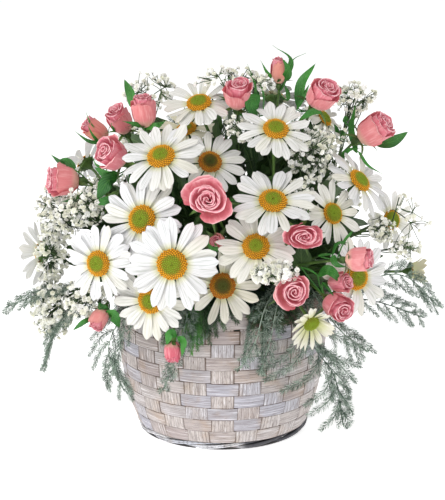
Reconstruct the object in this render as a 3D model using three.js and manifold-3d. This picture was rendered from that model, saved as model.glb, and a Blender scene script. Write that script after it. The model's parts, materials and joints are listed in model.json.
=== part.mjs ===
// Flower basket: spray daisies, spray roses, baby's breath and plumosa fern, standing in wet
// foam in a whitewashed splint basket.
// Millimetres, +Z up. The origin is the middle of the basket's underside, the front faces -Y.
// Places are [right, forward, up] from that origin, so forward is -Y.
// A facing is [azimuth, tilt] in degrees: azimuth from the front round to the right, tilt up
// from level.

import * as THREE from 'three';
import Module from 'manifold-3d';

const wasm = await Module();
wasm.setup();

const SEAT_GAP = 0.3;

const BASKET = {
  footRadius: 70,
  rimRadius: 89,
  rimTop: 124,
  stakes: 24,
  rows: 9,
  rowsBottom: 6.8,
  rowsTop: 108,
  wallTop: 121,
  wallThickness: 2.6,
  weaveRise: 1.5,
  stakeRise: 0.1,
  tileShare: 0.68,
  groove: 0.5,
  insideBend: 32,
  bottomInside: 66,
};
const RIM = { thickness: 2.6, bottom: 109.4, lipClearance: 0.5 };
const FOOT = { strand: 6.4, flat: 4.4, lift: 0.1, stations: 40 };
const FLOOR = { radius: 64, edge: 0.6, thickness: 6.7, sides: 24 };
const LINER = {
  wall: 1.2,
  sides: 16,
  foot: 63,
  belly: 75.5,
  bellyHeight: 30,
  mouth: 83,
  top: 117,
};
const FOAM = {
  sides: 16,
  foot: 58,
  belly: 70,
  bellyHeight: 31,
  shoulder: 78,
  shoulderHeight: 116,
  topRadius: 70,
  top: 128,
};

const STEM = {
  radius: 1.5,
  daisySides: 3,
  roseSides: 4,
  mainRadius: 3.2,
  mainSides: 6,
  foamDepth: 55,
  calyx: 4.6,
  calyxLength: 6,
  bends: 3,
  sampling: 3,
  clearance: 0.7,
  forkLength: 9,
};
const DAISY = { discShare: 0.16, discRise: 0.45, discBelow: 0.3, unevenLength: 0.12, unevenLift: 8 };
const PETAL = {
  thickness: 1.3,
  ring: 2.2,
  widest: 0.62,
  tipWidth: 0.42,
  droop: 14,
  spacingShare: 0.86,
  spanShare: 0.17,
  bendAllowance: 14,
  closedCup: 30,
  closedWidth: 0.66,
  clearance: 1.9,
};
const ROSE = {
  perTurn: 8,
  petalSteps: 3,
  notchIn: 0.06,
  notchDown: 0.05,
  foldShare: 0.35,
  foldDepth: 0.11,
  foldDeeper: 0.06,
  pitDepth: 0.3,
};

const COLOURS = {
  splint: { color: 0xd9d2d0, roughness: 0.85 },
  rim: { color: 0xcdc5c2, roughness: 0.8 },
  cane: { color: 0xe6e3e4, roughness: 0.7 },
  floor: { color: 0xc9b79c, roughness: 0.9 },
  liner: { color: 0x2f4a35, roughness: 0.4 },
  foam: { color: 0x2e5a3a, roughness: 1 },
  daisy: { color: 0xf6f5ec, roughness: 0.7 },
  rose: { color: 0xdd8088, roughness: 0.7 },
  stem: { color: 0x4a6b35, roughness: 0.8 },
  fern: { color: 0x6f8f6e, roughness: 0.9 },
  breath: { color: 0xeeeee6, roughness: 0.9 },
};

// Spray daisies, the ones in front first. Span is across the petals.
const DAISIES = [
  { name: 'daisy_01', at: [-39, 118, 171], facing: [-8, 8], span: 76, petals: 13, cup: 6 },
  { name: 'daisy_02', at: [-98, 92, 165], facing: [-28, 8], span: 66, petals: 13, cup: 4 },
  { name: 'daisy_03', at: [-63, 93, 201], facing: [-22, 20], span: 72, petals: 13, cup: 8 },
  { name: 'daisy_04', at: [-57, 98, 136], facing: [-22, 2], span: 66, petals: 12, cup: 6 },
  { name: 'daisy_05', at: [-48, 83, 249], facing: [-14, 48], span: 70, petals: 12, cup: 6 },
  { name: 'daisy_06', at: [-10, 58, 240], facing: [10, 38], span: 60, petals: 10, cup: 8 },
  { name: 'daisy_07', at: [42, 67, 268], facing: [8, 50], span: 64, petals: 12, cup: 4 },
  { name: 'daisy_08', at: [39, 104, 218], facing: [8, 50], span: 70, petals: 12, cup: 4 },
  { name: 'daisy_09', at: [26, 106, 182], facing: [0, 34], span: 68, petals: 12, cup: 6 },
  { name: 'daisy_10', at: [0, 90, 146], facing: [4, 16], span: 66, petals: 10, cup: 8 },
  { name: 'daisy_11', at: [107, 82, 151], facing: [30, 10], span: 66, petals: 12, cup: 6 },
  { name: 'daisy_12', at: [88, 68, 200], facing: [34, 24], span: 56, petals: 10, cup: 8 },
  { name: 'daisy_13', at: [111, 45, 222], facing: [52, 40], span: 64, petals: 11, cup: 6 },
  { name: 'daisy_14', at: [140, 25, 185], facing: [36, 14], span: 54, petals: 10, cup: 8 },
  { name: 'daisy_15', at: [-19, 35, 284], facing: [-16, 58], span: 64, petals: 11, cup: 12 },
  { name: 'daisy_16', at: [85, 0, 266], facing: [60, 36], span: 46, petals: 10, cup: 8 },
  { name: 'daisy_17', at: [70, 110, 121], facing: [24, -24], span: 44, petals: 11, cup: 34 },
  { name: 'daisy_18', at: [160, 16, 139], facing: [88, 4], span: 28, petals: 8, cup: 62 },
  { name: 'daisy_19', at: [-152, 12, 154], facing: [-118, -4], span: 60, petals: 10, cup: 24 },
  { name: 'daisy_20', at: [-116, -12, 226], facing: [-128, 28], span: 54, petals: 10, cup: 14 },
  { name: 'daisy_21', at: [44, -36, 278], facing: [165, 52], span: 60, petals: 10, cup: 8 },
  { name: 'daisy_22', at: [-30, 6, 258], facing: [-20, 60], span: 54, petals: 10, cup: 10 },
  { name: 'daisy_23', at: [-62, -96, 190], facing: [-150, 18], span: 68, petals: 11, cup: 6 },
  { name: 'daisy_24', at: [48, -104, 176], facing: [158, 10], span: 68, petals: 11, cup: 6 },
];

// Spray roses. Height runs from the calyx to the top, turns is how often the petals go round.
const ROSES = [
  { name: 'rose_01', at: [-10, 104, 217], facing: [-4, 18], width: 43, height: 25, turns: 3.4, open: 1 },
  { name: 'rose_02', at: [60, 98, 192], facing: [10, 2], width: 33, height: 24, turns: 2.8, open: 0.8 },
  { name: 'rose_03', at: [53, 107, 148], facing: [6, 8], width: 34, height: 25, turns: 2.8, open: 0.7 },
  { name: 'rose_04', at: [84, 94, 136], facing: [30, -12], width: 27, height: 25, turns: 2.4, open: 0.4 },
  { name: 'rose_05', at: [95, 108, 172], facing: [74, 6], width: 23, height: 24, turns: 2.2, open: 0.3 },
  { name: 'rose_06', at: [112, 22, 252], facing: [66, 34], width: 32, height: 32, turns: 2.6, open: 0.4 },
  { name: 'rose_07', at: [74, 32, 281], facing: [34, 44], width: 30, height: 29, turns: 2.6, open: 0.5 },
  { name: 'rose_08', at: [12, 36, 280], facing: [4, 64], width: 29, height: 26, turns: 2.4, open: 0.6 },
  { name: 'rose_09', at: [46, 14, 296], facing: [-8, 84], width: 15, height: 24, turns: 1.6, open: 0 },
  { name: 'rose_10', at: [-61, 44, 265], facing: [-30, 78], width: 23, height: 30, turns: 2, open: 0.3 },
  { name: 'rose_11', at: [-79, 18, 257], facing: [-44, 58], width: 25, height: 27, turns: 2.2, open: 0.4 },
  { name: 'rose_12', at: [-96, 2, 249], facing: [-74, 40], width: 20, height: 26, turns: 1.8, open: 0.3 },
  { name: 'rose_13', at: [-79, 56, 240], facing: [-50, 30], width: 32, height: 26, turns: 2.6, open: 0.6 },
  { name: 'rose_14', at: [-116, 42, 221], facing: [-74, 6], width: 30, height: 28, turns: 2.6, open: 0.6 },
  { name: 'rose_15', at: [-95, 74, 123], facing: [-38, -48], width: 17, height: 21, turns: 1.8, open: 0.1 },
  { name: 'rose_16', at: [-39, 106, 106], facing: [-10, -78], width: 15, height: 19, turns: 1.8, open: 0.1 },
  { name: 'rose_17', at: [-3, 92, 184], facing: [-10, 10], width: 14, height: 13, turns: 1.6, open: 0.2 },
  { name: 'rose_18', at: [-8, -92, 214], facing: [176, 24], width: 34, height: 25, turns: 2.8, open: 0.8 },
];

// Each spray's stems fork from one main stem, which stands in the foam at its fork.
const STEM_SPRAYS = [
  { name: 'daisy_stems_left', fork: [-44, 20, 140], blooms: [2, 3, 4, 5, 19, 20].map(daisyName) },
  { name: 'daisy_stems_front', fork: [4, 42, 140], blooms: [1, 6, 8, 9, 10, 17].map(daisyName) },
  { name: 'daisy_stems_right', fork: [46, 14, 140], blooms: [7, 11, 12, 13, 14, 16, 18].map(daisyName) },
  { name: 'daisy_stems_back', fork: [0, -40, 140], blooms: [15, 21, 22, 23, 24].map(daisyName) },
  { name: 'rose_stems_left', fork: [-24, -6, 140], blooms: [10, 11, 12, 13, 14, 15, 16, 18].map(roseName) },
  { name: 'rose_stems_right', fork: [24, 4, 140], blooms: [1, 2, 3, 4, 5, 6, 7, 8, 9, 17].map(roseName) },
];

function daisyName(number) {
  return `daisy_${String(number).padStart(2, '0')}`;
}

function roseName(number) {
  return `rose_${String(number).padStart(2, '0')}`;
}

function place([right, forward, up]) {
  return new THREE.Vector3(right, -forward, up);
}

function facingFrame([azimuth, tilt]) {
  const turn = THREE.MathUtils.degToRad(azimuth);
  const rise = THREE.MathUtils.degToRad(tilt);
  const face = new THREE.Vector3(
    Math.sin(turn) * Math.cos(rise),
    -Math.cos(turn) * Math.cos(rise),
    Math.sin(rise),
  );
  const right = new THREE.Vector3(Math.cos(turn), Math.sin(turn), 0);
  const up = new THREE.Vector3().crossVectors(face, right);
  return { right, up, face };
}

// Repeatable random numbers from 0 to 1.
function seeded(seed) {
  let state = seed * 2654435761 % 4294967296;
  return () => {
    state = (state + 0x6d2b79f5) >>> 0;
    let mixed = Math.imul(state ^ (state >>> 15), state | 1);
    mixed ^= mixed + Math.imul(mixed ^ (mixed >>> 7), mixed | 61);
    return ((mixed ^ (mixed >>> 14)) >>> 0) / 4294967296;
  };
}

// A closed surface built point by point. A ring of points runs anticlockwise when it is seen
// from further along the limb that it belongs to.
class Skin {
  constructor() {
    this.points = [];
    this.faces = [];
  }

  point(x, y, z) {
    this.points.push(x instanceof THREE.Vector3 ? x.clone() : new THREE.Vector3(x, y, z));
    return this.points.length - 1;
  }

  triangle(a, b, c) {
    this.faces.push(a, b, c);
  }

  quad(a, b, c, d) {
    this.triangle(a, b, c);
    this.triangle(a, c, d);
  }

  band(ring, next) {
    ring.forEach((corner, i) => {
      const j = (i + 1) % ring.length;
      this.quad(corner, ring[j], next[j], next[i]);
    });
  }

  fan(ring, tip) {
    ring.forEach((corner, i) => this.triangle(corner, ring[(i + 1) % ring.length], tip));
  }

  startCap(ring) {
    for (let i = 1; i < ring.length - 1; i += 1) {
      this.triangle(ring[0], ring[i + 1], ring[i]);
    }
  }

  endCap(ring) {
    for (let i = 1; i < ring.length - 1; i += 1) {
      this.triangle(ring[0], ring[i], ring[i + 1]);
    }
  }

  // Ends a four-cornered limb [below, right, above, left] in a straight edge.
  edgeTip([below, right, above, left], leftTip, rightTip) {
    this.triangle(below, right, rightTip);
    this.triangle(right, above, rightTip);
    this.triangle(above, left, leftTip);
    this.triangle(left, below, leftTip);
    this.triangle(above, leftTip, rightTip);
    this.triangle(below, rightTip, leftTip);
  }

  geometry() {
    const geometry = new THREE.BufferGeometry();
    const positions = this.points.flatMap((p) => [p.x, p.y, p.z]);
    geometry.setAttribute('position', new THREE.Float32BufferAttribute(positions, 3));
    geometry.setIndex(this.faces);
    return geometry;
  }

  solid() {
    const vertProperties = new Float32Array(this.points.flatMap((p) => [p.x, p.y, p.z]));
    return new wasm.Manifold(new wasm.Mesh({
      numProp: 3,
      vertProperties,
      triVerts: new Uint32Array(this.faces),
    }));
  }
}

function solidGeometry(solid) {
  const { vertProperties, triVerts, numProp } = solid.getMesh();
  const positions = new Float32Array(vertProperties.length / numProp * 3);
  for (let i = 0; i < positions.length / 3; i += 1) {
    positions.set(vertProperties.subarray(i * numProp, i * numProp + 3), i * 3);
  }
  const geometry = new THREE.BufferGeometry();
  geometry.setAttribute('position', new THREE.BufferAttribute(positions, 3));
  geometry.setIndex(Array.from(triVerts));
  return geometry;
}

// Only the largest of the bodies that a cut leaves.
function largestBody(solid) {
  return solid.decompose().reduce((a, b) => (a.volume() > b.volume() ? a : b));
}

// The space that is already taken, as balls round sample points, with the basket as a keep-out.
class Room {
  constructor() {
    this.cellSize = 26;
    this.cells = new Map();
  }

  cellOf(p) {
    return [p.x, p.y, p.z].map((value) => Math.floor(value / this.cellSize));
  }

  take(owner, points, radius) {
    points.forEach((p) => {
      const key = this.cellOf(p).join();
      if (!this.cells.has(key)) {
        this.cells.set(key, []);
      }
      this.cells.get(key).push({ p: p.clone(), radius, owner });
    });
  }

  clashes(points, radius, friends) {
    return points.filter((p) => this.isTaken(p, radius, friends)).length;
  }

  isTaken(p, radius, friends) {
    if (inBasket(p, radius)) {
      return true;
    }
    const [i, j, k] = this.cellOf(p);
    for (let x = i - 1; x <= i + 1; x += 1) {
      for (let y = j - 1; y <= j + 1; y += 1) {
        for (let z = k - 1; z <= k + 1; z += 1) {
          const near = this.cells.get(`${x},${y},${z}`) ?? [];
          if (near.some((ball) => !friends.includes(ball.owner)
            && ball.p.distanceTo(p) < ball.radius + radius)) {
            return true;
          }
        }
      }
    }
    return false;
  }
}

function wallRadius(height) {
  const fall = Math.max(0, 1 - height / BASKET.rimTop);
  return BASKET.rimRadius - (BASKET.rimRadius - BASKET.footRadius) * fall ** 3;
}

function inBasket(p, margin) {
  if (p.z < margin) {
    return true;
  }
  const reach = Math.hypot(p.x, p.y);
  const overRim = RIM.thickness + BASKET.weaveRise + 1;
  if (p.z < BASKET.rimTop + 1 + margin) {
    return reach < wallRadius(p.z) + overRim + margin;
  }
  return p.z < FOAM.top + 1 + margin && reach < FOAM.shoulder + margin;
}

const room = new Room();

// Basket

// The stakes bend in at the bottom, where the wall stands on the foot.
// Two columns to a stake mark the edges of each woven tile. A tile stands out where the weaver
// passes over the stake, and lies back where the stake shows.
function basketWall() {
  const skin = new Skin();
  const rowHeight = (BASKET.rowsTop - BASKET.rowsBottom) / BASKET.rows;
  const pitch = 2 * Math.PI / BASKET.stakes;
  const tileHalf = BASKET.tileShare * pitch / 2;
  const columns = [];
  for (let stake = 0; stake < BASKET.stakes; stake += 1) {
    columns.push({ stake, angle: stake * pitch - tileHalf });
    columns.push({ stake, angle: stake * pitch + tileHalf });
  }
  const ring = (height, offset) => columns.map((column) => {
    const radius = wallRadius(height) + offset(column);
    return skin.point(radius * Math.cos(column.angle), radius * Math.sin(column.angle), height);
  });
  const rings = [];
  for (let row = 0; row < BASKET.rows; row += 1) {
    const over = ({ stake }) => ((stake + row) % 2 === 0 ? BASKET.weaveRise : BASKET.stakeRise);
    const bottom = BASKET.rowsBottom + row * rowHeight;
    rings.push(ring(bottom + (row === 0 ? 0 : BASKET.groove), over));
    rings.push(ring(bottom + rowHeight - BASKET.groove, over));
  }
  rings.push(ring(BASKET.rowsTop + BASKET.groove, () => 0));
  rings.push(ring(BASKET.wallTop, () => 0));
  const inside = () => -BASKET.wallThickness;
  rings.push(ring(BASKET.wallTop, inside), ring(BASKET.insideBend, inside));
  const bottomOffset = BASKET.bottomInside - wallRadius(BASKET.rowsBottom);
  rings.push(ring(BASKET.rowsBottom, () => bottomOffset));
  rings.forEach((lower, i) => skin.band(lower, rings[(i + 1) % rings.length]));
  return skin.geometry();
}

// A closed profile of [radius, height] points turned round the basket's axis.
function turned(profile, sides) {
  const skin = new Skin();
  const rings = profile.map(([radius, height]) => {
    const ring = [];
    for (let i = 0; i < sides; i += 1) {
      const angle = 2 * Math.PI * i / sides;
      ring.push(skin.point(radius * Math.cos(angle), radius * Math.sin(angle), height));
    }
    return ring;
  });
  rings.forEach((ring, i) => skin.band(ring, rings[(i + 1) % rings.length]));
  return skin;
}

// A solid whose profile starts and ends on the axis.
function turnedOnAxis(profile, sides) {
  const skin = new Skin();
  const rings = profile.slice(1, -1).map(([radius, height]) => {
    const ring = [];
    for (let i = 0; i < sides; i += 1) {
      const angle = 2 * Math.PI * i / sides;
      ring.push(skin.point(radius * Math.cos(angle), radius * Math.sin(angle), height));
    }
    return ring;
  });
  for (let i = 0; i < rings.length - 1; i += 1) {
    skin.band(rings[i], rings[i + 1]);
  }
  const first = skin.point(0, 0, profile[0][1]);
  const last = skin.point(0, 0, profile[profile.length - 1][1]);
  skin.fan([...rings[0]].reverse(), first);
  skin.fan(rings[rings.length - 1], last);
  return skin;
}

// The hoop covers the wall's top edge with a lip.
function basketRim() {
  const inner = (BASKET.rimRadius + SEAT_GAP) / Math.cos(Math.PI / BASKET.stakes);
  const outer = inner + RIM.thickness;
  const lipTop = BASKET.wallTop + SEAT_GAP;
  const wallInside = BASKET.rimRadius - BASKET.wallThickness - RIM.lipClearance;
  return turned([
    [outer, RIM.bottom],
    [outer, BASKET.rimTop],
    [wallInside, BASKET.rimTop],
    [wallInside, lipTop],
    [inner, lipTop],
    [inner, RIM.bottom],
  ], BASKET.stakes).geometry();
}

// Two twisted strands, as one ring whose flattened section turns as it goes round.
function basketFoot() {
  const skin = new Skin();
  const middleRadius = FLOOR.radius + SEAT_GAP + FOOT.strand / 2;
  const middleHeight = FOOT.strand / 2 + FOOT.lift;
  const quarter = Math.PI / 2;
  const rings = [];
  for (let i = 0; i < FOOT.stations; i += 1) {
    const round = 2 * Math.PI * i / FOOT.stations;
    const twist = quarter * i / 2;
    const ring = [];
    for (let corner = 0; corner < 4; corner += 1) {
      const angle = twist - corner * quarter;
      const arm = corner % 2 === 0 ? FOOT.strand / 2 : FOOT.flat / 2;
      const radius = middleRadius + arm * Math.cos(angle);
      ring.push(skin.point(
        radius * Math.cos(round),
        radius * Math.sin(round),
        middleHeight + arm * Math.sin(angle),
      ));
    }
    rings.push(ring);
  }
  rings.forEach((ring, i) => skin.band(ring, rings[(i + 1) % rings.length]));
  return skin.geometry();
}

function basketFloor() {
  return turnedOnAxis([
    [0, 0],
    [FLOOR.radius - FLOOR.edge, 0],
    [FLOOR.radius, FLOOR.edge],
    [FLOOR.radius, FLOOR.thickness],
    [0, FLOOR.thickness],
  ], FLOOR.sides).geometry();
}

function liner() {
  const bottom = FLOOR.thickness + SEAT_GAP;
  const { wall, foot, belly, bellyHeight, mouth, top } = LINER;
  return turnedOnAxis([
    [0, bottom],
    [foot, bottom],
    [belly, bellyHeight],
    [mouth, top],
    [mouth - wall, top],
    [belly - wall, bellyHeight + wall / 2],
    [foot - wall, bottom + wall],
    [0, bottom + wall],
  ], LINER.sides).geometry();
}

function foamBlock() {
  const bottom = FLOOR.thickness + 2 * SEAT_GAP + LINER.wall;
  return turnedOnAxis([
    [0, bottom],
    [FOAM.foot, bottom],
    [FOAM.belly, FOAM.bellyHeight],
    [FOAM.shoulder, FOAM.shoulderHeight],
    [FOAM.topRadius, FOAM.top],
    [0, FOAM.top],
  ], FOAM.sides).solid();
}

// Stems and other limbs

// Rings of equal sides along a path, each square to it.
function limbRings(skin, path, radii, sides) {
  let across = new THREE.Vector3(1, 0, 0);
  return path.map((p, i) => {
    const before = path[Math.max(0, i - 1)];
    const after = path[Math.min(path.length - 1, i + 1)];
    const along = new THREE.Vector3().subVectors(after, before).normalize();
    if (i === 0 && Math.abs(along.x) > 0.8) {
      across.set(0, 1, 0);
    }
    across = across.clone().addScaledVector(along, -across.dot(along)).normalize();
    const over = new THREE.Vector3().crossVectors(along, across);
    const ring = [];
    for (let side = 0; side < sides; side += 1) {
      const angle = 2 * Math.PI * side / sides;
      ring.push(skin.point(p.clone()
        .addScaledVector(across, radii[i] * Math.cos(angle))
        .addScaledVector(over, radii[i] * Math.sin(angle))));
    }
    return ring;
  });
}

function limb(path, radii, sides) {
  const skin = new Skin();
  const rings = limbRings(skin, path, radii, sides);
  skin.startCap(rings[0]);
  for (let i = 0; i < rings.length - 1; i += 1) {
    skin.band(rings[i], rings[i + 1]);
  }
  skin.endCap(rings[rings.length - 1]);
  return skin;
}

// Daisies

// Petals grow from a ring round the disc. Each bends up or down until it is clear of its
// neighbours on other blooms.
function daisy(bloom, index) {
  const { at, facing, span, petals, cup } = bloom;
  const random = seeded(index + 11);
  const frame = facingFrame(facing);
  const origin = place(at);
  const discRadius = span * DAISY.discShare;
  const reach = span / 2 - discRadius;
  const flat = Math.cos(THREE.MathUtils.degToRad(cup + PETAL.bendAllowance));
  const spacing = 2 * Math.PI * (discRadius + reach * PETAL.widest * flat) / petals;
  const openWidth = Math.min(spacing * PETAL.spacingShare, span * PETAL.spanShare);
  const width = cup > PETAL.closedCup ? openWidth * PETAL.closedWidth : openWidth;
  const toWorld = (p) => origin.clone()
    .addScaledVector(frame.right, p.x)
    .addScaledVector(frame.up, p.y)
    .addScaledVector(frame.face, p.z);
  const skin = new Skin();
  const above = [];
  const below = [];
  for (let i = 0; i < petals; i += 1) {
    const turn = 2 * Math.PI * (i - 0.5) / petals;
    const x = discRadius * Math.cos(turn);
    const y = discRadius * Math.sin(turn);
    above.push(skin.point(x, y, 0));
    below.push(skin.point(x, y, -PETAL.ring));
  }
  skin.fan(above, skin.point(0, 0, discRadius * DAISY.discRise));
  skin.fan([...below].reverse(), skin.point(0, 0, -PETAL.ring - discRadius * DAISY.discBelow));
  const samples = [];
  for (let i = 0; i < petals; i += 1) {
    const next = (i + 1) % petals;
    const turn = 2 * Math.PI * i / petals;
    const length = reach * (1 + DAISY.unevenLength * (random() - 2 / 3));
    const lift = cup + DAISY.unevenLift * (random() - 0.5);
    const petal = clearPetal({ turn, discRadius, length, width, lift }, toWorld, bloom.name);
    samples.push(...petal.samples);
    const { middle, tip, side, normal } = petal;
    const half = PETAL.thickness / 2;
    const ring = [
      skin.point(middle.clone().addScaledVector(normal, -half)),
      skin.point(middle.clone().addScaledVector(side, width / 2)),
      skin.point(middle.clone().addScaledVector(normal, half)),
      skin.point(middle.clone().addScaledVector(side, -width / 2)),
    ];
    skin.band([below[i], below[next], above[next], above[i]], ring);
    skin.edgeTip(
      ring,
      skin.point(tip.clone().addScaledVector(side, -width * PETAL.tipWidth / 2)),
      skin.point(tip.clone().addScaledVector(side, width * PETAL.tipWidth / 2)),
    );
  }
  room.take(bloom.name, samples, PETAL.clearance);
  room.take(bloom.name, [origin], discRadius * 0.9);
  takeCalyx(bloom, PETAL.ring + discRadius * DAISY.discBelow);
  return skin.geometry();
}

// Keeps the space behind a bloom clear for its calyx and the start of its stem.
function takeCalyx(bloom, back) {
  const { face } = facingFrame(bloom.facing);
  const points = [2, 5, 9, 13, 18].map((extra) => place(bloom.at).addScaledVector(face, -back - extra));
  room.take(bloom.name, points, STEM.radius + 1.2);
}

const PETAL_BENDS = [0, 7, -7, 14, -14, 21, -21, 28, -28, 36, -36, 44, -44];
const PETAL_SHORTENINGS = [1, 0.86, 0.7];

function clearPetal(petal, toWorld, name) {
  let best = null;
  for (const shortening of PETAL_SHORTENINGS) {
    for (const bend of PETAL_BENDS) {
      const shape = petalShape({ ...petal, length: petal.length * shortening, lift: petal.lift + bend });
      shape.samples = shape.samples.map(toWorld);
      shape.hits = room.clashes(shape.samples, PETAL.clearance, [name]);
      if (best === null || shape.hits < best.hits) {
        best = shape;
      }
      if (best.hits === 0) {
        return best;
      }
    }
  }
  return best;
}

function petalShape({ turn, discRadius, length, width, lift }) {
  const out = new THREE.Vector3(Math.cos(turn), Math.sin(turn), 0);
  const side = new THREE.Vector3(-Math.sin(turn), Math.cos(turn), 0);
  const up = new THREE.Vector3(0, 0, 1);
  const inner = THREE.MathUtils.degToRad(lift);
  const outer = THREE.MathUtils.degToRad(lift - PETAL.droop);
  const root = out.clone().multiplyScalar(discRadius).addScaledVector(up, -PETAL.ring / 2);
  const middle = root.clone()
    .addScaledVector(out, PETAL.widest * length * Math.cos(inner))
    .addScaledVector(up, PETAL.widest * length * Math.sin(inner));
  const tip = middle.clone()
    .addScaledVector(out, (1 - PETAL.widest) * length * Math.cos(outer))
    .addScaledVector(up, (1 - PETAL.widest) * length * Math.sin(outer));
  const normal = new THREE.Vector3().crossVectors(
    new THREE.Vector3().subVectors(tip, root).normalize(),
    side,
  );
  const samples = [];
  [[0.3, 0.4], [0.65, 0.8], [1, 1]].forEach(([t, spread]) => {
    const p = root.clone().lerp(middle, t);
    [-0.5, 0, 0.5].forEach((s) => samples.push(p.clone().addScaledVector(side, s * spread * width)));
  });
  [[0.5, 0.85], [1, 0.5]].forEach(([t, spread]) => {
    const p = middle.clone().lerp(tip, t);
    [-0.5, 0, 0.5].forEach((s) => samples.push(p.clone().addScaledVector(side, s * spread * width)));
  });
  return { middle, tip, side, normal, samples };
}

// Roses

// The petals' rims and the folds between them follow one spiral out from the middle, and each
// rim dips where one petal ends and the next begins.
function rose(bloom, index) {
  const { at, facing, width, height, turns, open } = bloom;
  const radius = width / 2;
  const random = seeded(index + 71);
  const skin = new Skin();
  const n = ROSE.perTurn;
  const last = Math.round(n * turns);
  const start = 2 * Math.PI * random();
  const angleOf = (step) => start + 2 * Math.PI * step / n;
  const spread = (step) => step / last;
  const notch = (step) => (step % ROSE.petalSteps === 0 ? 1 : 0);
  const rimRadius = (step) => radius * (0.14 + 0.86 * spread(step) ** 0.85) * (1 - ROSE.notchIn * notch(step));
  const rimHeight = (step) => {
    const bud = height * (1 - 0.34 * spread(step) ** 1.6);
    const wide = height * (0.9 - 0.26 * (spread(step) - 0.25) ** 2);
    return THREE.MathUtils.lerp(bud, wide, open) - height * ROSE.notchDown * notch(step);
  };
  const polar = (step, reach, z) => skin.point(
    reach * Math.cos(angleOf(step)),
    reach * Math.sin(angleOf(step)),
    z,
  );
  const rims = [];
  const folds = [];
  for (let step = 0; step <= last; step += 1) {
    rims.push(polar(step, rimRadius(step), rimHeight(step)));
    if (step <= last - n) {
      const reach = THREE.MathUtils.lerp(rimRadius(step), rimRadius(step + n), ROSE.foldShare);
      const depth = height * (ROSE.foldDepth + ROSE.foldDeeper * spread(step + n));
      folds.push(polar(step, reach, Math.min(rimHeight(step), rimHeight(step + n)) - depth));
    }
  }
  const pit = skin.point(0, 0, rimHeight(0) - height * ROSE.pitDepth);
  for (let step = 0; step < n; step += 1) {
    skin.triangle(pit, rims[step], rims[step + 1]);
  }
  skin.triangle(pit, rims[n], folds[0]);
  skin.triangle(pit, folds[0], rims[0]);
  for (let step = 0; step < last - n; step += 1) {
    skin.quad(rims[step], folds[step], folds[step + 1], rims[step + 1]);
    skin.quad(folds[step], rims[step + n], rims[step + n + 1], folds[step + 1]);
  }
  const outside = rims.slice(last - n);
  const wallRing = (reach, z) => outside.slice(0, n).map((_, i) => polar(last - n + i, reach, z));
  const belly = wallRing(radius * THREE.MathUtils.lerp(0.95, 0.86, open), height * 0.4);
  const base = wallRing(radius * 0.42, height * 0.1);
  for (let i = 0; i < n; i += 1) {
    skin.quad(belly[i], belly[(i + 1) % n], outside[i + 1], outside[i]);
  }
  skin.triangle(folds[last - n], rims[last], belly[0]);
  skin.triangle(folds[last - n], belly[0], rims[last - n]);
  skin.band(base, belly);
  skin.fan([...base].reverse(), skin.point(0, 0, 0));
  const frame = facingFrame(facing);
  const origin = place(at);
  const bodyAt = (share) => origin.clone().addScaledVector(frame.face, height * share);
  room.take(bloom.name, [bodyAt(0.42)], radius * 0.8);
  room.take(bloom.name, [bodyAt(0.7)], radius * 0.86);
  const rimSamples = [];
  for (let i = 0; i < 10; i += 1) {
    const angle = 2 * Math.PI * i / 10;
    rimSamples.push(bodyAt(0.66)
      .addScaledVector(frame.right, radius * 0.9 * Math.cos(angle))
      .addScaledVector(frame.up, radius * 0.9 * Math.sin(angle)));
  }
  room.take(bloom.name, rimSamples, 3);
  takeCalyx(bloom, 0);
  return skin.geometry();
}


// Stems

function bloomNamed(name) {
  return [...DAISIES, ...ROSES].find((bloom) => bloom.name === name);
}

// Where a bloom's calyx starts, just behind it.
function calyxSeat(bloom) {
  const { face } = facingFrame(bloom.facing);
  const back = bloom.span ? PETAL.ring + bloom.span * DAISY.discShare * DAISY.discBelow : 0;
  return place(bloom.at).addScaledVector(face, -back - SEAT_GAP);
}

const STEM_PULLS = [16, 28, 44];
const STEM_SHIFTS = [0, 9, -9, 18, -18, 28, -28, 40, -40];
const STEM_RISES = [0, 9, -9, 18, -18, 30];

// A stem runs back from its bloom and down to the fork, and bows until it clears what it meets.
function stemPath(bloom, fork, friends, count) {
  const { face } = facingFrame(bloom.facing);
  const calyx = calyxSeat(bloom).addScaledVector(face, -STEM.calyxLength);
  const chord = new THREE.Vector3().subVectors(fork, calyx);
  const sideways = new THREE.Vector3(-chord.y, chord.x, 0).normalize();
  let best = null;
  for (const pull of STEM_PULLS) {
    for (const shift of STEM_SHIFTS) {
      for (const rise of STEM_RISES) {
        for (const lowShift of [0, shift, -shift]) {
          const leave = calyx.clone()
            .addScaledVector(face, -pull)
            .addScaledVector(sideways, shift * 0.6);
          leave.z += rise * 0.6;
          const arrive = fork.clone()
            .addScaledVector(chord, -0.3)
            .addScaledVector(sideways, lowShift);
          arrive.z = Math.max(fork.z + 8, arrive.z * 0.5 + fork.z * 0.5) + rise;
          const curve = new THREE.CubicBezierCurve3(calyx, leave, arrive, fork);
          const fine = curve.getPoints(Math.ceil(chord.length() / STEM.sampling));
          const hits = room.clashes(fine.slice(0, -3), STEM.radius + STEM.clearance, friends);
          const cost = hits * 1000 + Math.abs(shift) + Math.abs(rise) + Math.abs(lowShift);
          if (best === null || cost < best.cost) {
            best = { cost, hits, curve, fine };
          }
        }
      }
    }
  }
  return { ...best, path: best.curve.getPoints(count) };
}

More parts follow.
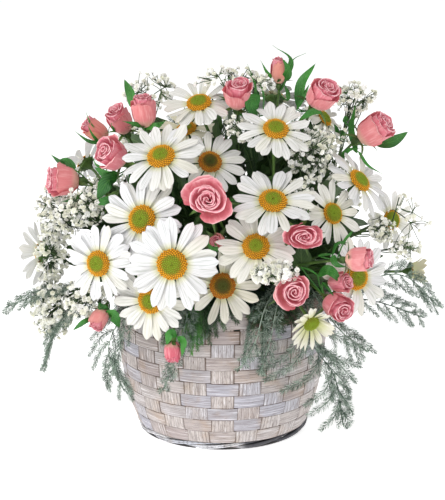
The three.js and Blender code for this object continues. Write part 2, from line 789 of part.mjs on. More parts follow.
// The stem's last stretch widens into the calyx. A rose's calyx carries sepals, which grow out
// of its sides.
function stemSkin(bloom, path, friends) {
  const isRose = bloom.height !== undefined;
  const { face } = facingFrame(bloom.facing);
  const seat = calyxSeat(bloom);
  const cup = isRose ? Math.max(2.6, bloom.width * 0.2) : STEM.calyx * bloom.span / 70;
  const full = [...path].reverse();
  full.push(seat);
  const skin = new Skin();
  const radii = full.map((_, i) => (i === full.length - 1 ? cup : STEM.radius));
  const sides = isRose ? STEM.roseSides : STEM.daisySides;
  const rings = limbRings(skin, full, radii, sides);
  skin.startCap(rings[0]);
  for (let i = 0; i < rings.length - 2; i += 1) {
    skin.band(rings[i], rings[i + 1]);
  }
  const [below, rim] = rings.slice(-2);
  for (let i = 0; i < sides; i += 1) {
    const j = (i + 1) % sides;
    if (isRose) {
      const middle = skin.points[rim[i]].clone().add(skin.points[rim[j]]).multiplyScalar(0.5);
      const out = middle.clone().sub(seat).normalize();
      const lift = bloom.height * (bloom.open > 0.5 ? -0.1 : 0.3);
      const far = seat.clone()
        .addScaledVector(out, bloom.width * 0.5 + 3)
        .addScaledVector(face, lift);
      const apex = skin.point(middle.lerp(far, clearShare(middle, far, friends)));
      skin.fan([below[i], below[j], rim[j], rim[i]], apex);
    } else {
      skin.quad(below[i], below[j], rim[j], rim[i]);
    }
  }
  skin.endCap(rim);
  return skin;
}

// How much of the straight way between two points is clear.
function clearShare(from, to, friends) {
  for (const share of [1, 0.8, 0.6, 0.4]) {
    const end = from.clone().lerp(to, share);
    if (room.clashes(new THREE.LineCurve3(from, end).getPoints(5).slice(1), 1.6, friends) === 0) {
      return share;
    }
  }
  return 0.2;
}

function mainStem(fork, extra) {
  const foot = fork.clone();
  foot.z = FOAM.top - STEM.foamDepth - extra;
  const radius = STEM.mainRadius + extra;
  return limb([foot, fork], [radius, radius], STEM.mainSides).solid();
}

function joined(solids) {
  return largestBody(wasm.Manifold.union(solids));
}

// Leaves and fronds

// A thin blade along a curve: a raised rib with an edge on either side. Each station gives the
// share of the way along, the half width there and how far the edge sweeps on.
function ribbedBlade(curve, upward, rib, stations) {
  const skin = new Skin();
  const rings = stations.map(({ t, left, right, sweep = 0 }) => {
    const p = curve.getPoint(t);
    const along = curve.getTangent(t).normalize();
    const side = new THREE.Vector3().crossVectors(upward, along).normalize();
    const normal = new THREE.Vector3().crossVectors(along, side);
    const edge = (half) => p.clone().addScaledVector(side, half).addScaledVector(along, sweep);
    return [
      skin.point(p.clone().addScaledVector(normal, -rib)),
      skin.point(edge(right)),
      skin.point(p.clone().addScaledVector(normal, rib)),
      skin.point(edge(-left)),
    ];
  });
  skin.startCap(rings[0]);
  for (let i = 0; i < rings.length - 1; i += 1) {
    skin.band(rings[i], rings[i + 1]);
  }
  skin.fan(rings[rings.length - 1], skin.point(curve.getPoint(1)));
  return skin;
}

// Points over a blade, close enough together that nothing slips between them.
function bladeSamples(curve, upward, stations, steps) {
  const samples = [];
  for (let i = 0; i <= steps; i += 1) {
    const t = THREE.MathUtils.lerp(stations[0].t, 1, i / steps);
    const p = curve.getPoint(t);
    const along = curve.getTangent(t).normalize();
    const side = new THREE.Vector3().crossVectors(upward, along).normalize();
    const next = stations.find((station) => station.t >= t) ?? { t: 1, left: 0 };
    const last = stations.findLast((station) => station.t < t) ?? stations[0];
    const share = next.t > last.t ? (t - last.t) / (next.t - last.t) : 0;
    const half = THREE.MathUtils.lerp(last.left, next.left, share);
    [-1, -0.6, -0.3, 0, 0.3, 0.6, 1].forEach((part) => {
      samples.push(p.clone().addScaledVector(side, part * half));
    });
  }
  return samples;
}

function toothSamples(curve, upward, stations) {
  const parts = [-1, -0.8, -0.6, -0.4, -0.2, 0.2, 0.4, 0.6, 0.8, 1];
  return stations.filter(({ sweep }) => sweep).flatMap(({ t, left, right, sweep }) => {
    const p = curve.getPoint(t);
    const along = curve.getTangent(t).normalize();
    const side = new THREE.Vector3().crossVectors(upward, along).normalize();
    return parts.flatMap((part) => [-3, 0, 3].map((spread) => p.clone()
      .addScaledVector(side, part * (part < 0 ? left : right))
      .addScaledVector(along, sweep * Math.abs(part) + spread * (1 - Math.abs(part)))));
  });
}

const LEAF_OUTLINE = [
  { t: 0, share: 0.08 },
  { t: 0.3, share: 0.92 },
  { t: 0.42, share: 0.68 },
  { t: 0.66, share: 0.8 },
];

// Leaves by hand: where each one starts and ends, and how wide it is.
const LEAVES = [
  { spray: 'rose_stems_left', root: [-84, 44, 214], tip: [-100, 52, 192], width: 19 },
  { spray: 'rose_stems_right', root: [78, 88, 150], tip: [88, 98, 166], width: 10 },
  { spray: 'rose_stems_right', root: [30, -40, 200], tip: [40, -74, 234], width: 28 },
  { spray: 'daisy_stems_back', root: [4, -60, 172], tip: [2, -96, 200], width: 30 },
  { spray: 'daisy_stems_back', root: [-60, -66, 152], tip: [-104, -92, 156], width: 30 },
  { spray: 'daisy_stems_back', root: [60, -66, 156], tip: [104, -92, 160], width: 30 },
  { spray: 'daisy_stems_right', root: [66, -14, 190], tip: [104, -42, 206], width: 28 },
  { spray: 'daisy_stems_right', root: [84, 4, 160], tip: [126, -14, 166], width: 28 },
  { spray: 'daisy_stems_left', root: [-70, -16, 190], tip: [-108, -34, 200], width: 28 },
  { spray: 'daisy_stems_left', root: [-84, -10, 152], tip: [-126, -26, 156], width: 28 },
];
// Leaves round the rim, which hide the foam. They start inside and bend out over the rim.
const COLLAR = {
  turns: [88, 112, 136, 160, 184, 232],
  rootRadius: 56,
  tipRadius: 112,
  rootHeight: 138,
  tipHeight: 128,
  width: 27,
};

function leafStations(width) {
  return LEAF_OUTLINE.map(({ t, share }) => ({ t, left: width / 2 * share, right: width / 2 * share }));
}

const LEAF_TWIG = { radii: [1, 0.8], sides: 3 };
const LEAF_LIFTS = [0.12, 0.25, 0, 0.4, -0.12, 0.6];
const LEAF_SWINGS = [0, 0.2, -0.2, 0.4, -0.4, 0.7, -0.7];

// A leaf and the twig that joins it to the nearest point of its spray.
function leaf(root, tip, width, knots, friends) {
  const middle = root.clone().lerp(tip, 0.5);
  const reach = root.distanceTo(tip);
  let best = null;
  for (const lift of LEAF_LIFTS) {
    for (const swing of LEAF_SWINGS) {
      const along = new THREE.Vector3().subVectors(tip, root);
      const sideways = new THREE.Vector3(-along.y, along.x, 0).normalize();
      const end = tip.clone().addScaledVector(sideways, reach * swing);
      const crown = middle.clone().addScaledVector(sideways, reach * swing / 2);
      crown.z += reach * lift;
      const curve = new THREE.QuadraticBezierCurve3(root, crown, end);
      const upward = Math.abs(along.z) > 0.8 * reach
        ? new THREE.Vector3(0, -1, 0)
        : new THREE.Vector3(0, 0, 1);
      const stations = leafStations(width);
      const knot = knots.reduce((a, b) => (a.distanceTo(root) < b.distanceTo(root) ? a : b));
      const twig = new THREE.LineCurve3(knot, curve.getPoint(0.06)).getPoints(14);
      const samples = bladeSamples(curve, upward, stations, 14);
      const hits = room.clashes([...samples, ...twig.slice(2)], 1.6, friends);
      if (best === null || hits < best.hits) {
        best = { hits, curve, upward, stations, twig, samples };
      }
    }
  }
  return best;
}

function leafSolids(found) {
  const twig = limb([found.twig[0], found.twig[found.twig.length - 1]], LEAF_TWIG.radii, LEAF_TWIG.sides);
  return [twig.solid(), ribbedBlade(found.curve, found.upward, 0.7, found.stations).solid()];
}

// Plumosa fern: the stalk runs bare from the fork to the first point, then feathers out.
const FERNS = [
  {
    name: 'fern_right',
    fork: [62, 30, 138],
    fronds: [
      { path: [[66, 84, 131], [72, 96, 100], [90, 90, 71], [99, 82, 24]], width: 38 },
      { path: [[76, 70, 131], [94, 84, 108], [118, 82, 88]], width: 26 },
      { path: [[44, 88, 131], [38, 99, 104], [30, 97, 74]], width: 20 },
      { path: [[100, 46, 136], [147, 45, 143], [180, 40, 114]], width: 26 },
      { path: [[88, 58, 132], [130, 62, 124], [166, 58, 110]], width: 24 },
      { path: [[34, 90, 128], [26, 103, 104], [14, 100, 80]], width: 14 },
    ],
  },
  {
    name: 'fern_left',
    fork: [-62, 8, 140],
    fronds: [
      { path: [[-100, 26, 136], [-150, 40, 126], [-182, 34, 112]], width: 22 },
      { path: [[-92, 40, 133], [-134, 46, 104], [-150, 42, 62]], width: 24 },
      { path: [[-72, 66, 132], [-92, 82, 92], [-80, 80, 54]], width: 24 },
      { path: [[-28, 90, 128], [-36, 101, 96], [-48, 98, 60]], width: 20 },
    ],
  },
  {
    name: 'fern_back',
    fork: [4, -64, 140],
    fronds: [
      { path: [[-54, -80, 134], [-84, -96, 106], [-92, -96, 66]], width: 28 },
      { path: [[58, -78, 134], [88, -92, 108], [100, -96, 70]], width: 28 },
      { path: [[6, -96, 136], [4, -128, 122], [2, -140, 92]], width: 24 },
      { path: [[-20, -68, 176], [-30, -80, 214], [-40, -92, 254]], width: 44 },
      { path: [[40, -66, 184], [58, -80, 222], [66, -92, 258]], width: 44 },
    ],
  },
];
const FERN = { stalk: 1.1, stalkBends: 3, rib: 0.8, pairSpacing: 13, sweep: 0.55, notch: 1 };

function frondStations(curve, start, width) {
  const length = curve.getLength() * (1 - start);
  const pairs = Math.round(length / FERN.pairSpacing);
  const stations = [];
  for (let i = 0; i < FERN.stalkBends; i += 1) {
    stations.push({ t: start * i / FERN.stalkBends, left: FERN.stalk, right: FERN.stalk });
  }
  stations.push({ t: start, left: FERN.stalk, right: FERN.stalk });
  for (let i = 0; i < pairs; i += 1) {
    const share = (i + 0.6) / pairs;
    const half = width / 2 * Math.sin(Math.PI * (0.18 + 0.74 * share)) ** 0.8;
    const at = (extra) => start + (1 - start) * Math.min(0.97, share + extra / pairs);
    stations.push({ t: at(0), left: half, right: half, sweep: half * FERN.sweep });
    stations.push({ t: at(0.5), left: FERN.notch, right: FERN.notch });
  }
  return stations;
}

function fern({ name, fork, fronds }) {
  const root = place(fork);
  const solids = [mainStem(root, 0)];
  fronds.forEach(({ path, width }) => {
    const points = path.map(place);
    const start = 0.36;
    const curve = clearFrond(root, points, start, name);
    const outward = new THREE.Vector3(points[1].x, points[1].y, 40).normalize();
    const stations = frondStations(curve, start, width);
    stations.forEach((station) => {
      ['left', 'right'].forEach((edge) => {
        if (station.sweep) {
          station[edge] = clearReach(curve, outward, station, edge, name);
        }
      });
    });
    solids.push(ribbedBlade(curve, outward, FERN.rib, stations).solid());
    room.take(name, curve.getPoints(80), FERN.stalk + 0.4);
    room.take(name, toothSamples(curve, outward, stations), 1.5);
  });
  return solidGeometry(joined(solids));
}

// The bare stalk bows sideways or up on its way over the rim until it is clear.
function clearFrond(root, points, start, name) {
  const chord = new THREE.Vector3().subVectors(points[0], root);
  const sideways = new THREE.Vector3(-chord.y, chord.x, 0).normalize();
  let best = null;
  for (const rise of [2, 8, 14, 22]) {
    for (const shift of STEM_SHIFTS) {
      for (const share of [0.5, 0.3, 0.7]) {
        const over = root.clone().lerp(points[0], share).addScaledVector(sideways, shift);
        over.z = Math.max(points[0].z, root.z) + rise;
        const curve = new THREE.CatmullRomCurve3([root, over, ...points], false, 'centripetal');
        const way = curve.getPoints(80);
        const hits = room.clashes(way.slice(4), FERN.stalk + 0.6, [name]);
        if (best === null || hits < best.hits) {
          best = { hits, curve };
        }
      }
    }
  }
  return best.curve;
}

// A side branch is shortened until its way out is clear.
function clearReach(curve, upward, station, edge, name) {
  const sign = edge === 'left' ? -1 : 1;
  const p = curve.getPoint(station.t);
  const along = curve.getTangent(station.t).normalize();
  const side = new THREE.Vector3().crossVectors(upward, along).normalize();
  for (const share of [1, 0.7, 0.45]) {
    const half = station[edge] * share;
    const way = [0.3, 0.5, 0.7, 0.85, 1].map((s) => p.clone()
      .addScaledVector(side, sign * half * s)
      .addScaledVector(along, station.sweep * share * s));
    if (room.clashes(way, 1.3, [name]) === 0) {
      return half;
    }
  }
  return FERN.notch;
}

// Baby's breath: stalks fork from a hub into small round florets.
const BREATH = [
  {
    name: 'breath_left',
    fork: [-58, -12, 140],
    clusters: [
      { at: [-134, 22, 190], size: [22, 20, 26], florets: 7 },
      { at: [-146, 22, 155], size: [18, 20, 26], florets: 7 },
      { at: [-142, 34, 112], size: [18, 18, 28], florets: 7 },
      { at: [-60, -10, 286], size: [26, 22, 18], florets: 5 },
    ],
  },
  {
    name: 'breath_right',
    fork: [66, -8, 140],
    clusters: [
      { at: [70, 48, 245], size: [24, 18, 24], florets: 7 },
      { at: [148, 44, 188], size: [22, 18, 28], florets: 9 },
      { at: [108, -10, 280], size: [22, 18, 16], florets: 5 },
      { at: [10, 30, 300], size: [34, 26, 14], florets: 6 },
      { at: [40, 116, 166], size: [22, 10, 10], florets: 6 },
    ],
  },
  {
    name: 'breath_back',
    fork: [-30, -52, 140],
    clusters: [
      { at: [-104, -70, 186], size: [22, 20, 26], florets: 6 },
      { at: [0, -112, 158], size: [28, 16, 20], florets: 6 },
      { at: [104, -72, 190], size: [24, 20, 26], florets: 6 },
      { at: [10, -76, 262], size: [26, 18, 16], florets: 5 },
    ],
  },
];
const FLORET = {
  radius: 2.7,
  stalk: 0.6,
  stem: 1,
  point: 2,
  sides: 3,
  bends: 2,
  twigs: 6,
  headShare: 0.42,
  tries: 20,
};

function breath({ name, fork, clusters }, index) {
  const random = seeded(index + 301);
  const root = place(fork);
  const solids = [mainStem(root, 0)];
  clusters.forEach(({ at, size, florets }) => {
    const route = clearBreathStem(at, size, root, name);
    room.take(name, route.fine, 1.4);
    solids.push(breathCluster(route.curve, place(at), size, florets, random, name).solid());
  });
  return solidGeometry(joined(solids));
}

// One stem with its florets. Each floret's stalk grows out of one triangle of the stem's side.
function breathCluster(curve, centre, size, florets, random, name) {
  const { stem, bends, twigs, headShare } = FLORET;
  const path = [];
  for (let i = 0; i < bends; i += 1) {
    path.push(curve.getPoint(THREE.MathUtils.lerp(1, headShare, i / bends)));
  }
  for (let i = 0; i <= twigs; i += 1) {
    path.push(curve.getPoint(THREE.MathUtils.lerp(headShare, 0, i / twigs)));
  }
  const skin = new Skin();
  const rings = limbRings(skin, path, path.map(() => stem), FLORET.sides);
  skin.startCap(rings[0]);
  for (let i = 0; i < bends; i += 1) {
    skin.band(rings[i], rings[i + 1]);
  }
  const sides = new Skin();
  sides.points = skin.points;
  for (let i = bends; i < rings.length - 1; i += 1) {
    sides.band(rings[i], rings[i + 1]);
  }
  const top = curve.getPoint(0).addScaledVector(curve.getTangent(0), -FLORET.point);
  sides.fan(rings[rings.length - 1], skin.point(top));
  const free = [];
  for (let i = 0; i < sides.faces.length; i += 3) {
    free.push(sides.faces.slice(i, i + 3));
  }
  for (let i = 0; i < florets; i += 1) {
    growFloret(skin, free, curve.getPoint(1), centre, size, random, name);
  }
  free.forEach(([a, b, c]) => skin.triangle(a, b, c));
  return skin;
}

function growFloret(skin, free, root, centre, size, random, name) {
  const { radius, stalk: thin } = FLORET;
  for (let attempt = 0; attempt < FLORET.tries; attempt += 1) {
    const way = new THREE.Vector3(random() - 0.5, random() - 0.5, random() - 0.5).normalize();
    const reach = 0.55 + 0.45 * random();
    const spot = way.multiply(new THREE.Vector3(...size)).multiplyScalar(reach).add(centre);
    const low = spot.clone().lerp(root, 0.12);
    const index = nearestFace(skin, free, low, spot);
    if (index >= 0) {
      const face = free[index];
      const from = faceMiddle(skin, face);
      const along = new THREE.Vector3().subVectors(spot, from).normalize();
      const beyond = spot.clone().addScaledVector(along, radius);
      const stalk = new THREE.LineCurve3(from, spot).getPoints(10);
      const clear = room.clashes(stalk, thin + 0.7, [name]) === 0
        && room.clashes(stalk.slice(3), thin + 0.2, []) === 0
        && room.clashes([spot, beyond], radius + 0.4, []) === 0;
      if (clear) {
        room.take(name, [spot], radius);
        room.take(name, stalk.slice(2), thin);
        const under = spot.clone().addScaledVector(along, -radius);
        const corner = new THREE.Vector3().subVectors(skin.points[face[0]], from);
        const neck = ringAround(skin, corner, under, along, thin);
        const widest = ringAround(skin, corner, spot, along, radius);
        skin.band(face, neck);
        skin.band(neck, widest);
        skin.fan(widest, skin.point(beyond));
        free.splice(index, 1);
        return;
      }
    }
  }
}

function faceMiddle(skin, face) {
  return face.reduce((sum, corner) => sum.add(skin.points[corner]), new THREE.Vector3()).divideScalar(3);
}

// The free face nearest to a point that also looks towards the floret.
function nearestFace(skin, free, low, spot) {
  let best = -1;
  let bestDistance = Infinity;
  free.forEach((face, index) => {
    const [a, b, c] = face.map((corner) => skin.points[corner]);
    const normal = new THREE.Vector3().crossVectors(
      new THREE.Vector3().subVectors(b, a),
      new THREE.Vector3().subVectors(c, a),
    ).normalize();
    const middle = faceMiddle(skin, face);
    const towards = new THREE.Vector3().subVectors(spot, middle).normalize().dot(normal);
    const distance = middle.distanceTo(low);
    if (towards > 0.35 && distance < bestDistance) {
      best = index;
      bestDistance = distance;
    }
  });
  return best;
}

// Three points round a spot, the first on the side where the given corner lies.
function ringAround(skin, corner, spot, along, radius) {
  const first = corner.clone().addScaledVector(along, -corner.dot(along)).normalize();
  const second = new THREE.Vector3().crossVectors(along, first);
  return [0, 1, 2].map((step) => {
    const angle = 2 * Math.PI * step / 3;
    return skin.point(spot.clone()
      .addScaledVector(first, radius * Math.cos(angle))
      .addScaledVector(second, radius * Math.sin(angle)));
  });
}

// The stem may end off the middle of its cluster to keep clear.
function clearBreathStem(at, size, root, name) {
  let best = null;
  for (const share of [0, 0.4, -0.4, 0.8, -0.8]) {
    for (const axis of [0, 1, 2]) {
      const end = [...at];
      end[axis] += size[axis] * share;
      const facing = outwardFacing(place(end), root);
      const route = stemPath({ name, span: 0, at: end, facing }, root, [name], FLORET.bends);
      if (best === null || route.hits < best.hits) {
        best = route;
      }
      if (best.hits === 0) {
        return best;
      }
    }
  }
  return best;
}

function outwardFacing(point, from) {
  const way = new THREE.Vector3().subVectors(point, from).normalize();
  const azimuth = THREE.MathUtils.radToDeg(Math.atan2(way.x, -way.y));
  const tilt = THREE.MathUtils.radToDeg(Math.asin(way.z));
  return [azimuth, tilt];
}

function stemSpray({ name, fork, blooms }, index) {
  const root = place(fork);
  const solids = [mainStem(root, 0)];
  const knots = [];
  blooms.forEach((bloomName, i) => {
    const bloom = bloomNamed(bloomName);
    const joint = root.clone();
    joint.z -= STEM.forkLength * i / blooms.length;
    const route = stemPath(bloom, joint, [name, bloomName], STEM.bends);
    room.take(name, route.fine, STEM.radius);
    knots.push(...route.fine.slice(8));
    solids.push(stemSkin(bloom, route.path, [name, bloomName]).solid());
  });
  return { name, solids, knots, friends: [name, ...blooms] };
}

const group = new THREE.Group();

function addMesh(name, geometry, colour) {
  const mesh = new THREE.Mesh(geometry, new THREE.MeshStandardMaterial({ ...colour, metalness: 0 }));
  mesh.name = name;
  group.add(mesh);
  return mesh;
}

function addBloom(bloom, geometry, colour) {
  const mesh = addMesh(bloom.name, geometry, colour);
  const { right, up, face } = facingFrame(bloom.facing);
  mesh.position.copy(place(bloom.at));
  mesh.quaternion.setFromRotationMatrix(new THREE.Matrix4().makeBasis(right, up, face));
}

addMesh('basket_wall', basketWall(), COLOURS.splint);
addMesh('basket_rim', basketRim(), COLOURS.rim);
addMesh('basket_foot', basketFoot(), COLOURS.cane);
addMesh('basket_floor', basketFloor(), COLOURS.floor);
addMesh('liner', liner(), COLOURS.liner);
ROSES.forEach((bloom, i) => addBloom(bloom, rose(bloom, i), COLOURS.rose));
DAISIES.forEach((bloom, i) => addBloom(bloom, daisy(bloom, i), COLOURS.daisy));

const forks = [...STEM_SPRAYS, ...FERNS, ...BREATH].map(({ name, fork }) => ({ name, at: place(fork) }));
forks.forEach(({ name, at }) => {
  const low = at.clone().setZ(FOAM.top + 4);
  room.take(name, [at, low], STEM.mainRadius + 0.5);
});

FERNS.forEach((plant) => addMesh(plant.name, fern(plant), COLOURS.fern));
const sprays = STEM_SPRAYS.map(stemSpray);
LEAVES.forEach(({ spray, root, tip, width }) => {
  const owner = sprays.find(({ name }) => name === spray);
  const found = leaf(place(root), place(tip), width, owner.knots, [owner.name]);
  if (found.hits > 0) {
    return;
  }
  owner.solids.push(...leafSolids(found));
  room.take(owner.name, [...found.samples, ...found.twig], 1);
});
COLLAR.turns.forEach((degrees) => {
  const turn = THREE.MathUtils.degToRad(degrees);
  const out = new THREE.Vector3(Math.sin(turn), -Math.cos(turn), 0);
  const root = out.clone().multiplyScalar(COLLAR.rootRadius).setZ(COLLAR.rootHeight);
  const tip = out.clone().multiplyScalar(COLLAR.tipRadius).setZ(COLLAR.tipHeight);
  const owner = sprays.reduce((a, b) => (nearest(a.knots, root) < nearest(b.knots, root) ? a : b));
  const found = leaf(root, tip, COLLAR.width, owner.knots, [owner.name]);
  if (found.hits === 0) {
    owner.solids.push(...leafSolids(found));
    room.take(owner.name, [...found.samples, ...found.twig], 1);
  }
});
BREATH.forEach((plant, i) => addMesh(plant.name, breath(plant, i), COLOURS.breath));
sprays.forEach(({ name, solids }) => addMesh(name, solidGeometry(joined(solids)), COLOURS.stem));

function nearest(points, target) {
  return Math.min(...points.map((p) => p.distanceTo(target)));
}

// Each main stem stands in a plain hole in the foam.
const holes = forks.map(({ at }) => mainStem(at, SEAT_GAP + 0.2));
const foam = holes.reduce((block, hole) => block.subtract(hole), foamBlock());
addMesh('foam', solidGeometry(foam), COLOURS.foam);

export default group;
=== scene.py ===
"""Dresses the flower basket: spray daisies, spray roses, baby's breath and plumosa fern.

Tables and shapes are in millimetres, with +Z up and the front facing -Y, as in the part's
source. Surface turns them into metres when it makes a mesh. Places are (right, forward, up),
and a facing is (azimuth, tilt) in degrees.
"""

from __future__ import annotations

import heapq
import json
import logging
import math
from dataclasses import dataclass
from enum import Enum

import bpy
import numpy as np
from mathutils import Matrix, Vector
from mathutils.kdtree import KDTree

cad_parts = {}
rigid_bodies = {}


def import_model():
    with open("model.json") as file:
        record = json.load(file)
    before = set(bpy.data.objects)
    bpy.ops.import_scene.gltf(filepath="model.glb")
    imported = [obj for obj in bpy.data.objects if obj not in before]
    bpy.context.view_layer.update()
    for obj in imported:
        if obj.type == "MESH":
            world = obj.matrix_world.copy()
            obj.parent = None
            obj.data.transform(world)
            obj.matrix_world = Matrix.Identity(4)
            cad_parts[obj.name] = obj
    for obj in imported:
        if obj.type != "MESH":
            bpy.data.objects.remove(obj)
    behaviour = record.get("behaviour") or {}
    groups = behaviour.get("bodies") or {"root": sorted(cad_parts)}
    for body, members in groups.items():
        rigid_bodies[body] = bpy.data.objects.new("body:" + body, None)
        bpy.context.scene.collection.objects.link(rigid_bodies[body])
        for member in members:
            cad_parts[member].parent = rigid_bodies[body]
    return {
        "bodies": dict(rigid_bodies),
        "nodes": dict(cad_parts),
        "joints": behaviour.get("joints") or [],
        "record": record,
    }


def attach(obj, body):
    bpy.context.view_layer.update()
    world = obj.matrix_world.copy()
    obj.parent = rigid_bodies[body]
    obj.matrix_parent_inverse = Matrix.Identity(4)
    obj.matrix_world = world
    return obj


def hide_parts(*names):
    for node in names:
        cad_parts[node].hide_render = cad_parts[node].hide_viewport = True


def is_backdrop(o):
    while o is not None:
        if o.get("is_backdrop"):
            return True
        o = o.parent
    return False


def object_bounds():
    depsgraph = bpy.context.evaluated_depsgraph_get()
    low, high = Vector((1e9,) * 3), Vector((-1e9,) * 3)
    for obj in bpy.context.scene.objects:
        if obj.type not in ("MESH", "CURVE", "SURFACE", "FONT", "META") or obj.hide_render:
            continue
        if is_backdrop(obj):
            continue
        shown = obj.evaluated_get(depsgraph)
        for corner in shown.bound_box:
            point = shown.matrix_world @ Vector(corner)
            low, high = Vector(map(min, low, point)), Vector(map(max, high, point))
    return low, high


LOG = logging.getLogger("flower_basket")
MM = 0.001
GOLDEN_ANGLE = math.radians(137.508)
UPWARD = np.array([0.0, 0.0, 1.0])
Spot = tuple[float, float, float]
Socket = bpy.types.NodeSocket


class Slot(Enum):
    """The record's material slots, named when each piece is handed over."""

    SPLINT = "splint"
    RIM = "rim_splint"
    CANE = "cane"
    DAISY = "daisy_petal"
    ROSE = "rose_petal"
    STEM = "stem"
    FERN = "fern"
    BREATH = "breath"


@dataclass(frozen=True)
class DaisyPlace:
    """One spray daisy, placed as in the part's source, with its own look."""

    name: str
    at: Spot
    facing: tuple[float, float]
    span: float
    petals: int
    cup: float
    age: float
    cream: float
    # the strength of the painted glow on its petals, raised where they are backlit or shaded
    lit: float = 0.04


DAISIES = tuple(
    DaisyPlace(f"daisy_{number:02d}", *row)
    for number, row in enumerate(
        (
            ((-39, 118, 171), (-8, 8), 76, 13, 6, 0.4, 0.0),
            ((-98, 92, 165), (-28, 8), 66, 13, 4, 0.45, 0.0),
            ((-63, 93, 201), (-22, 20), 72, 13, 8, 0.4, 0.0),
            ((-57, 98, 136), (-22, 2), 66, 12, 6, 0.5, 0.15),
            ((-48, 83, 249), (-14, 48), 70, 12, 6, 0.55, 0.05),
            ((-10, 58, 240), (10, 38), 60, 10, 8, 0.85, 0.1),
            ((42, 67, 268), (8, 50), 64, 12, 4, 0.45, 0.1),
            ((39, 104, 218), (8, 50), 70, 12, 4, 0.5, 0.05),
            ((26, 106, 182), (0, 34), 68, 12, 6, 0.6, 0.2, 0.12),
            ((0, 90, 146), (4, 16), 66, 10, 8, 0.8, 0.3),
            ((107, 82, 151), (30, 10), 66, 12, 6, 0.4, 0.05),
            ((88, 68, 200), (34, 24), 56, 10, 8, 0.15, 0.2, 0.08),
            ((111, 45, 222), (52, 40), 64, 11, 6, 0.35, 0.05),
            ((140, 25, 185), (36, 14), 54, 10, 8, 0.1, 0.15, 0.12),
            ((-19, 35, 284), (-16, 58), 64, 11, 12, 0.4, 0.15),
            ((85, 0, 266), (60, 36), 46, 10, 8, 0.3, 0.2),
            ((70, 110, 121), (24, -24), 44, 11, 34, -0.3, 0.35),
            ((160, 16, 139), (88, 4), 28, 8, 62, 0.1, 0.8, 0.15),
            ((-152, 12, 154), (-118, -4), 60, 10, 24, 0.4, 0.1, 0.3),
            ((-116, -12, 226), (-128, 28), 54, 10, 14, 0.4, 0.2, 0.5),
            ((44, -36, 278), (165, 52), 60, 10, 8, 0.4, 0.1),
            ((-30, 6, 258), (-20, 60), 54, 10, 10, 0.5, 0.5),
            ((-62, -96, 190), (-150, 18), 68, 11, 6, 0.4, 0.0),
            ((48, -104, 176), (158, 10), 68, 11, 6, 0.45, 0.1),
        ),
        1,
    )
)


@dataclass(frozen=True)
class RosePlace:
    """One spray rose, placed as in the part's source, with its own look."""

    name: str
    at: Spot
    facing: tuple[float, float]
    width: float
    height: float
    turns: float
    open: float
    peach: float
    light: float
    oval: float = 1.0


ROSES = tuple(
    RosePlace(f"rose_{number:02d}", *row)
    for number, row in enumerate(
        (
            ((-10, 104, 217), (-4, 18), 43, 25, 3.4, 1, 0.15, 0.6, 0.86),
            ((60, 98, 192), (10, 2), 33, 24, 2.8, 0.8, 0.1, 0.25, 0.76),
            ((53, 107, 148), (6, 8), 34, 25, 2.8, 0.7, 0.25, 0.8),
            ((84, 94, 136), (30, -12), 27, 25, 2.4, 0.4, 0.2, 0.4),
            ((95, 108, 172), (74, 6), 23, 24, 2.2, 0.3, 0.35, 0.6),
            ((112, 22, 252), (66, 34), 32, 32, 2.6, 0.4, 0.3, 0.3),
            ((74, 32, 281), (34, 44), 30, 29, 2.6, 0.5, 0.3, 0.35),
            ((12, 36, 280), (4, 64), 29, 26, 2.4, 0.6, 0.35, 0.35),
            ((46, 14, 296), (-8, 84), 15, 24, 1.6, 0, 0.9, 0.6),
            ((-61, 44, 265), (-30, 78), 23, 30, 2, 0.3, 0.35, 0.2),
            ((-79, 18, 257), (-44, 58), 25, 27, 2.2, 0.4, 0.3, 0.2),
            ((-96, 2, 249), (-74, 40), 20, 26, 1.8, 0.3, 0.95, 0.2),
            ((-79, 56, 240), (-50, 30), 32, 26, 2.6, 0.6, 0.2, 0.25),
            ((-116, 42, 221), (-74, 6), 30, 28, 2.6, 0.6, 0.35, 0.3),
            ((-95, 74, 123), (-38, -48), 17, 21, 1.8, 0.1, 0.5, 0.4),
            ((-39, 106, 106), (-10, -78), 15, 19, 1.8, 0.1, 0.1, 0.1),
            ((-3, 92, 184), (-10, 10), 14, 13, 1.6, 0.2, 1.0, 0.9),
            ((-8, -92, 214), (176, 24), 34, 25, 2.8, 0.8, 0.2, 0.3),
        ),
        1,
    )
)
UPPER_BUD = RosePlace("rose_bud_upper", (85, 90, 148), (44, 16), 19, 22, 2, 0.3, 0.3, 0.6)
BLOOMS = {bloom.name: bloom for bloom in (*DAISIES, *ROSES)}


@dataclass(frozen=True)
class SprayPlace:
    """Stems that fork from one main stem: the fork, and the numbers of the blooms it carries."""

    name: str
    fork: Spot
    numbers: tuple[int, ...]

    def blooms(self) -> list[DaisyPlace | RosePlace]:
        """The blooms it carries."""
        kind = self.name.split("_")[0]
        return [BLOOMS[f"{kind}_{number:02d}"] for number in self.numbers]


SPRAYS = (
    SprayPlace("daisy_stems_left", (-44, 20, 140), (2, 3, 4, 5, 19, 20)),
    SprayPlace("daisy_stems_front", (4, 42, 140), (1, 6, 8, 9, 10, 17)),
    SprayPlace("daisy_stems_right", (46, 14, 140), (7, 11, 12, 13, 14, 16, 18)),
    SprayPlace("daisy_stems_back", (0, -40, 140), (15, 21, 22, 23, 24)),
    SprayPlace("rose_stems_left", (-24, -6, 140), (10, 11, 12, 13, 14, 15, 16, 18)),
    SprayPlace("rose_stems_right", (24, 4, 140), (1, 2, 3, 4, 5, 6, 7, 8, 9, 17)),
)


# Shapes


def place(spot: Spot) -> np.ndarray:
    """A (right, forward, up) place as X, Y, Z."""
    right, forward, up = spot
    return np.array([right, -forward, up], float)


def outward(turn: float, rise: float) -> np.ndarray:
    """The way out from the part's axis at a turn from the front and a rise, in radians."""
    level = math.cos(rise)
    return np.array([math.sin(turn) * level, -math.cos(turn) * level, math.sin(rise)])


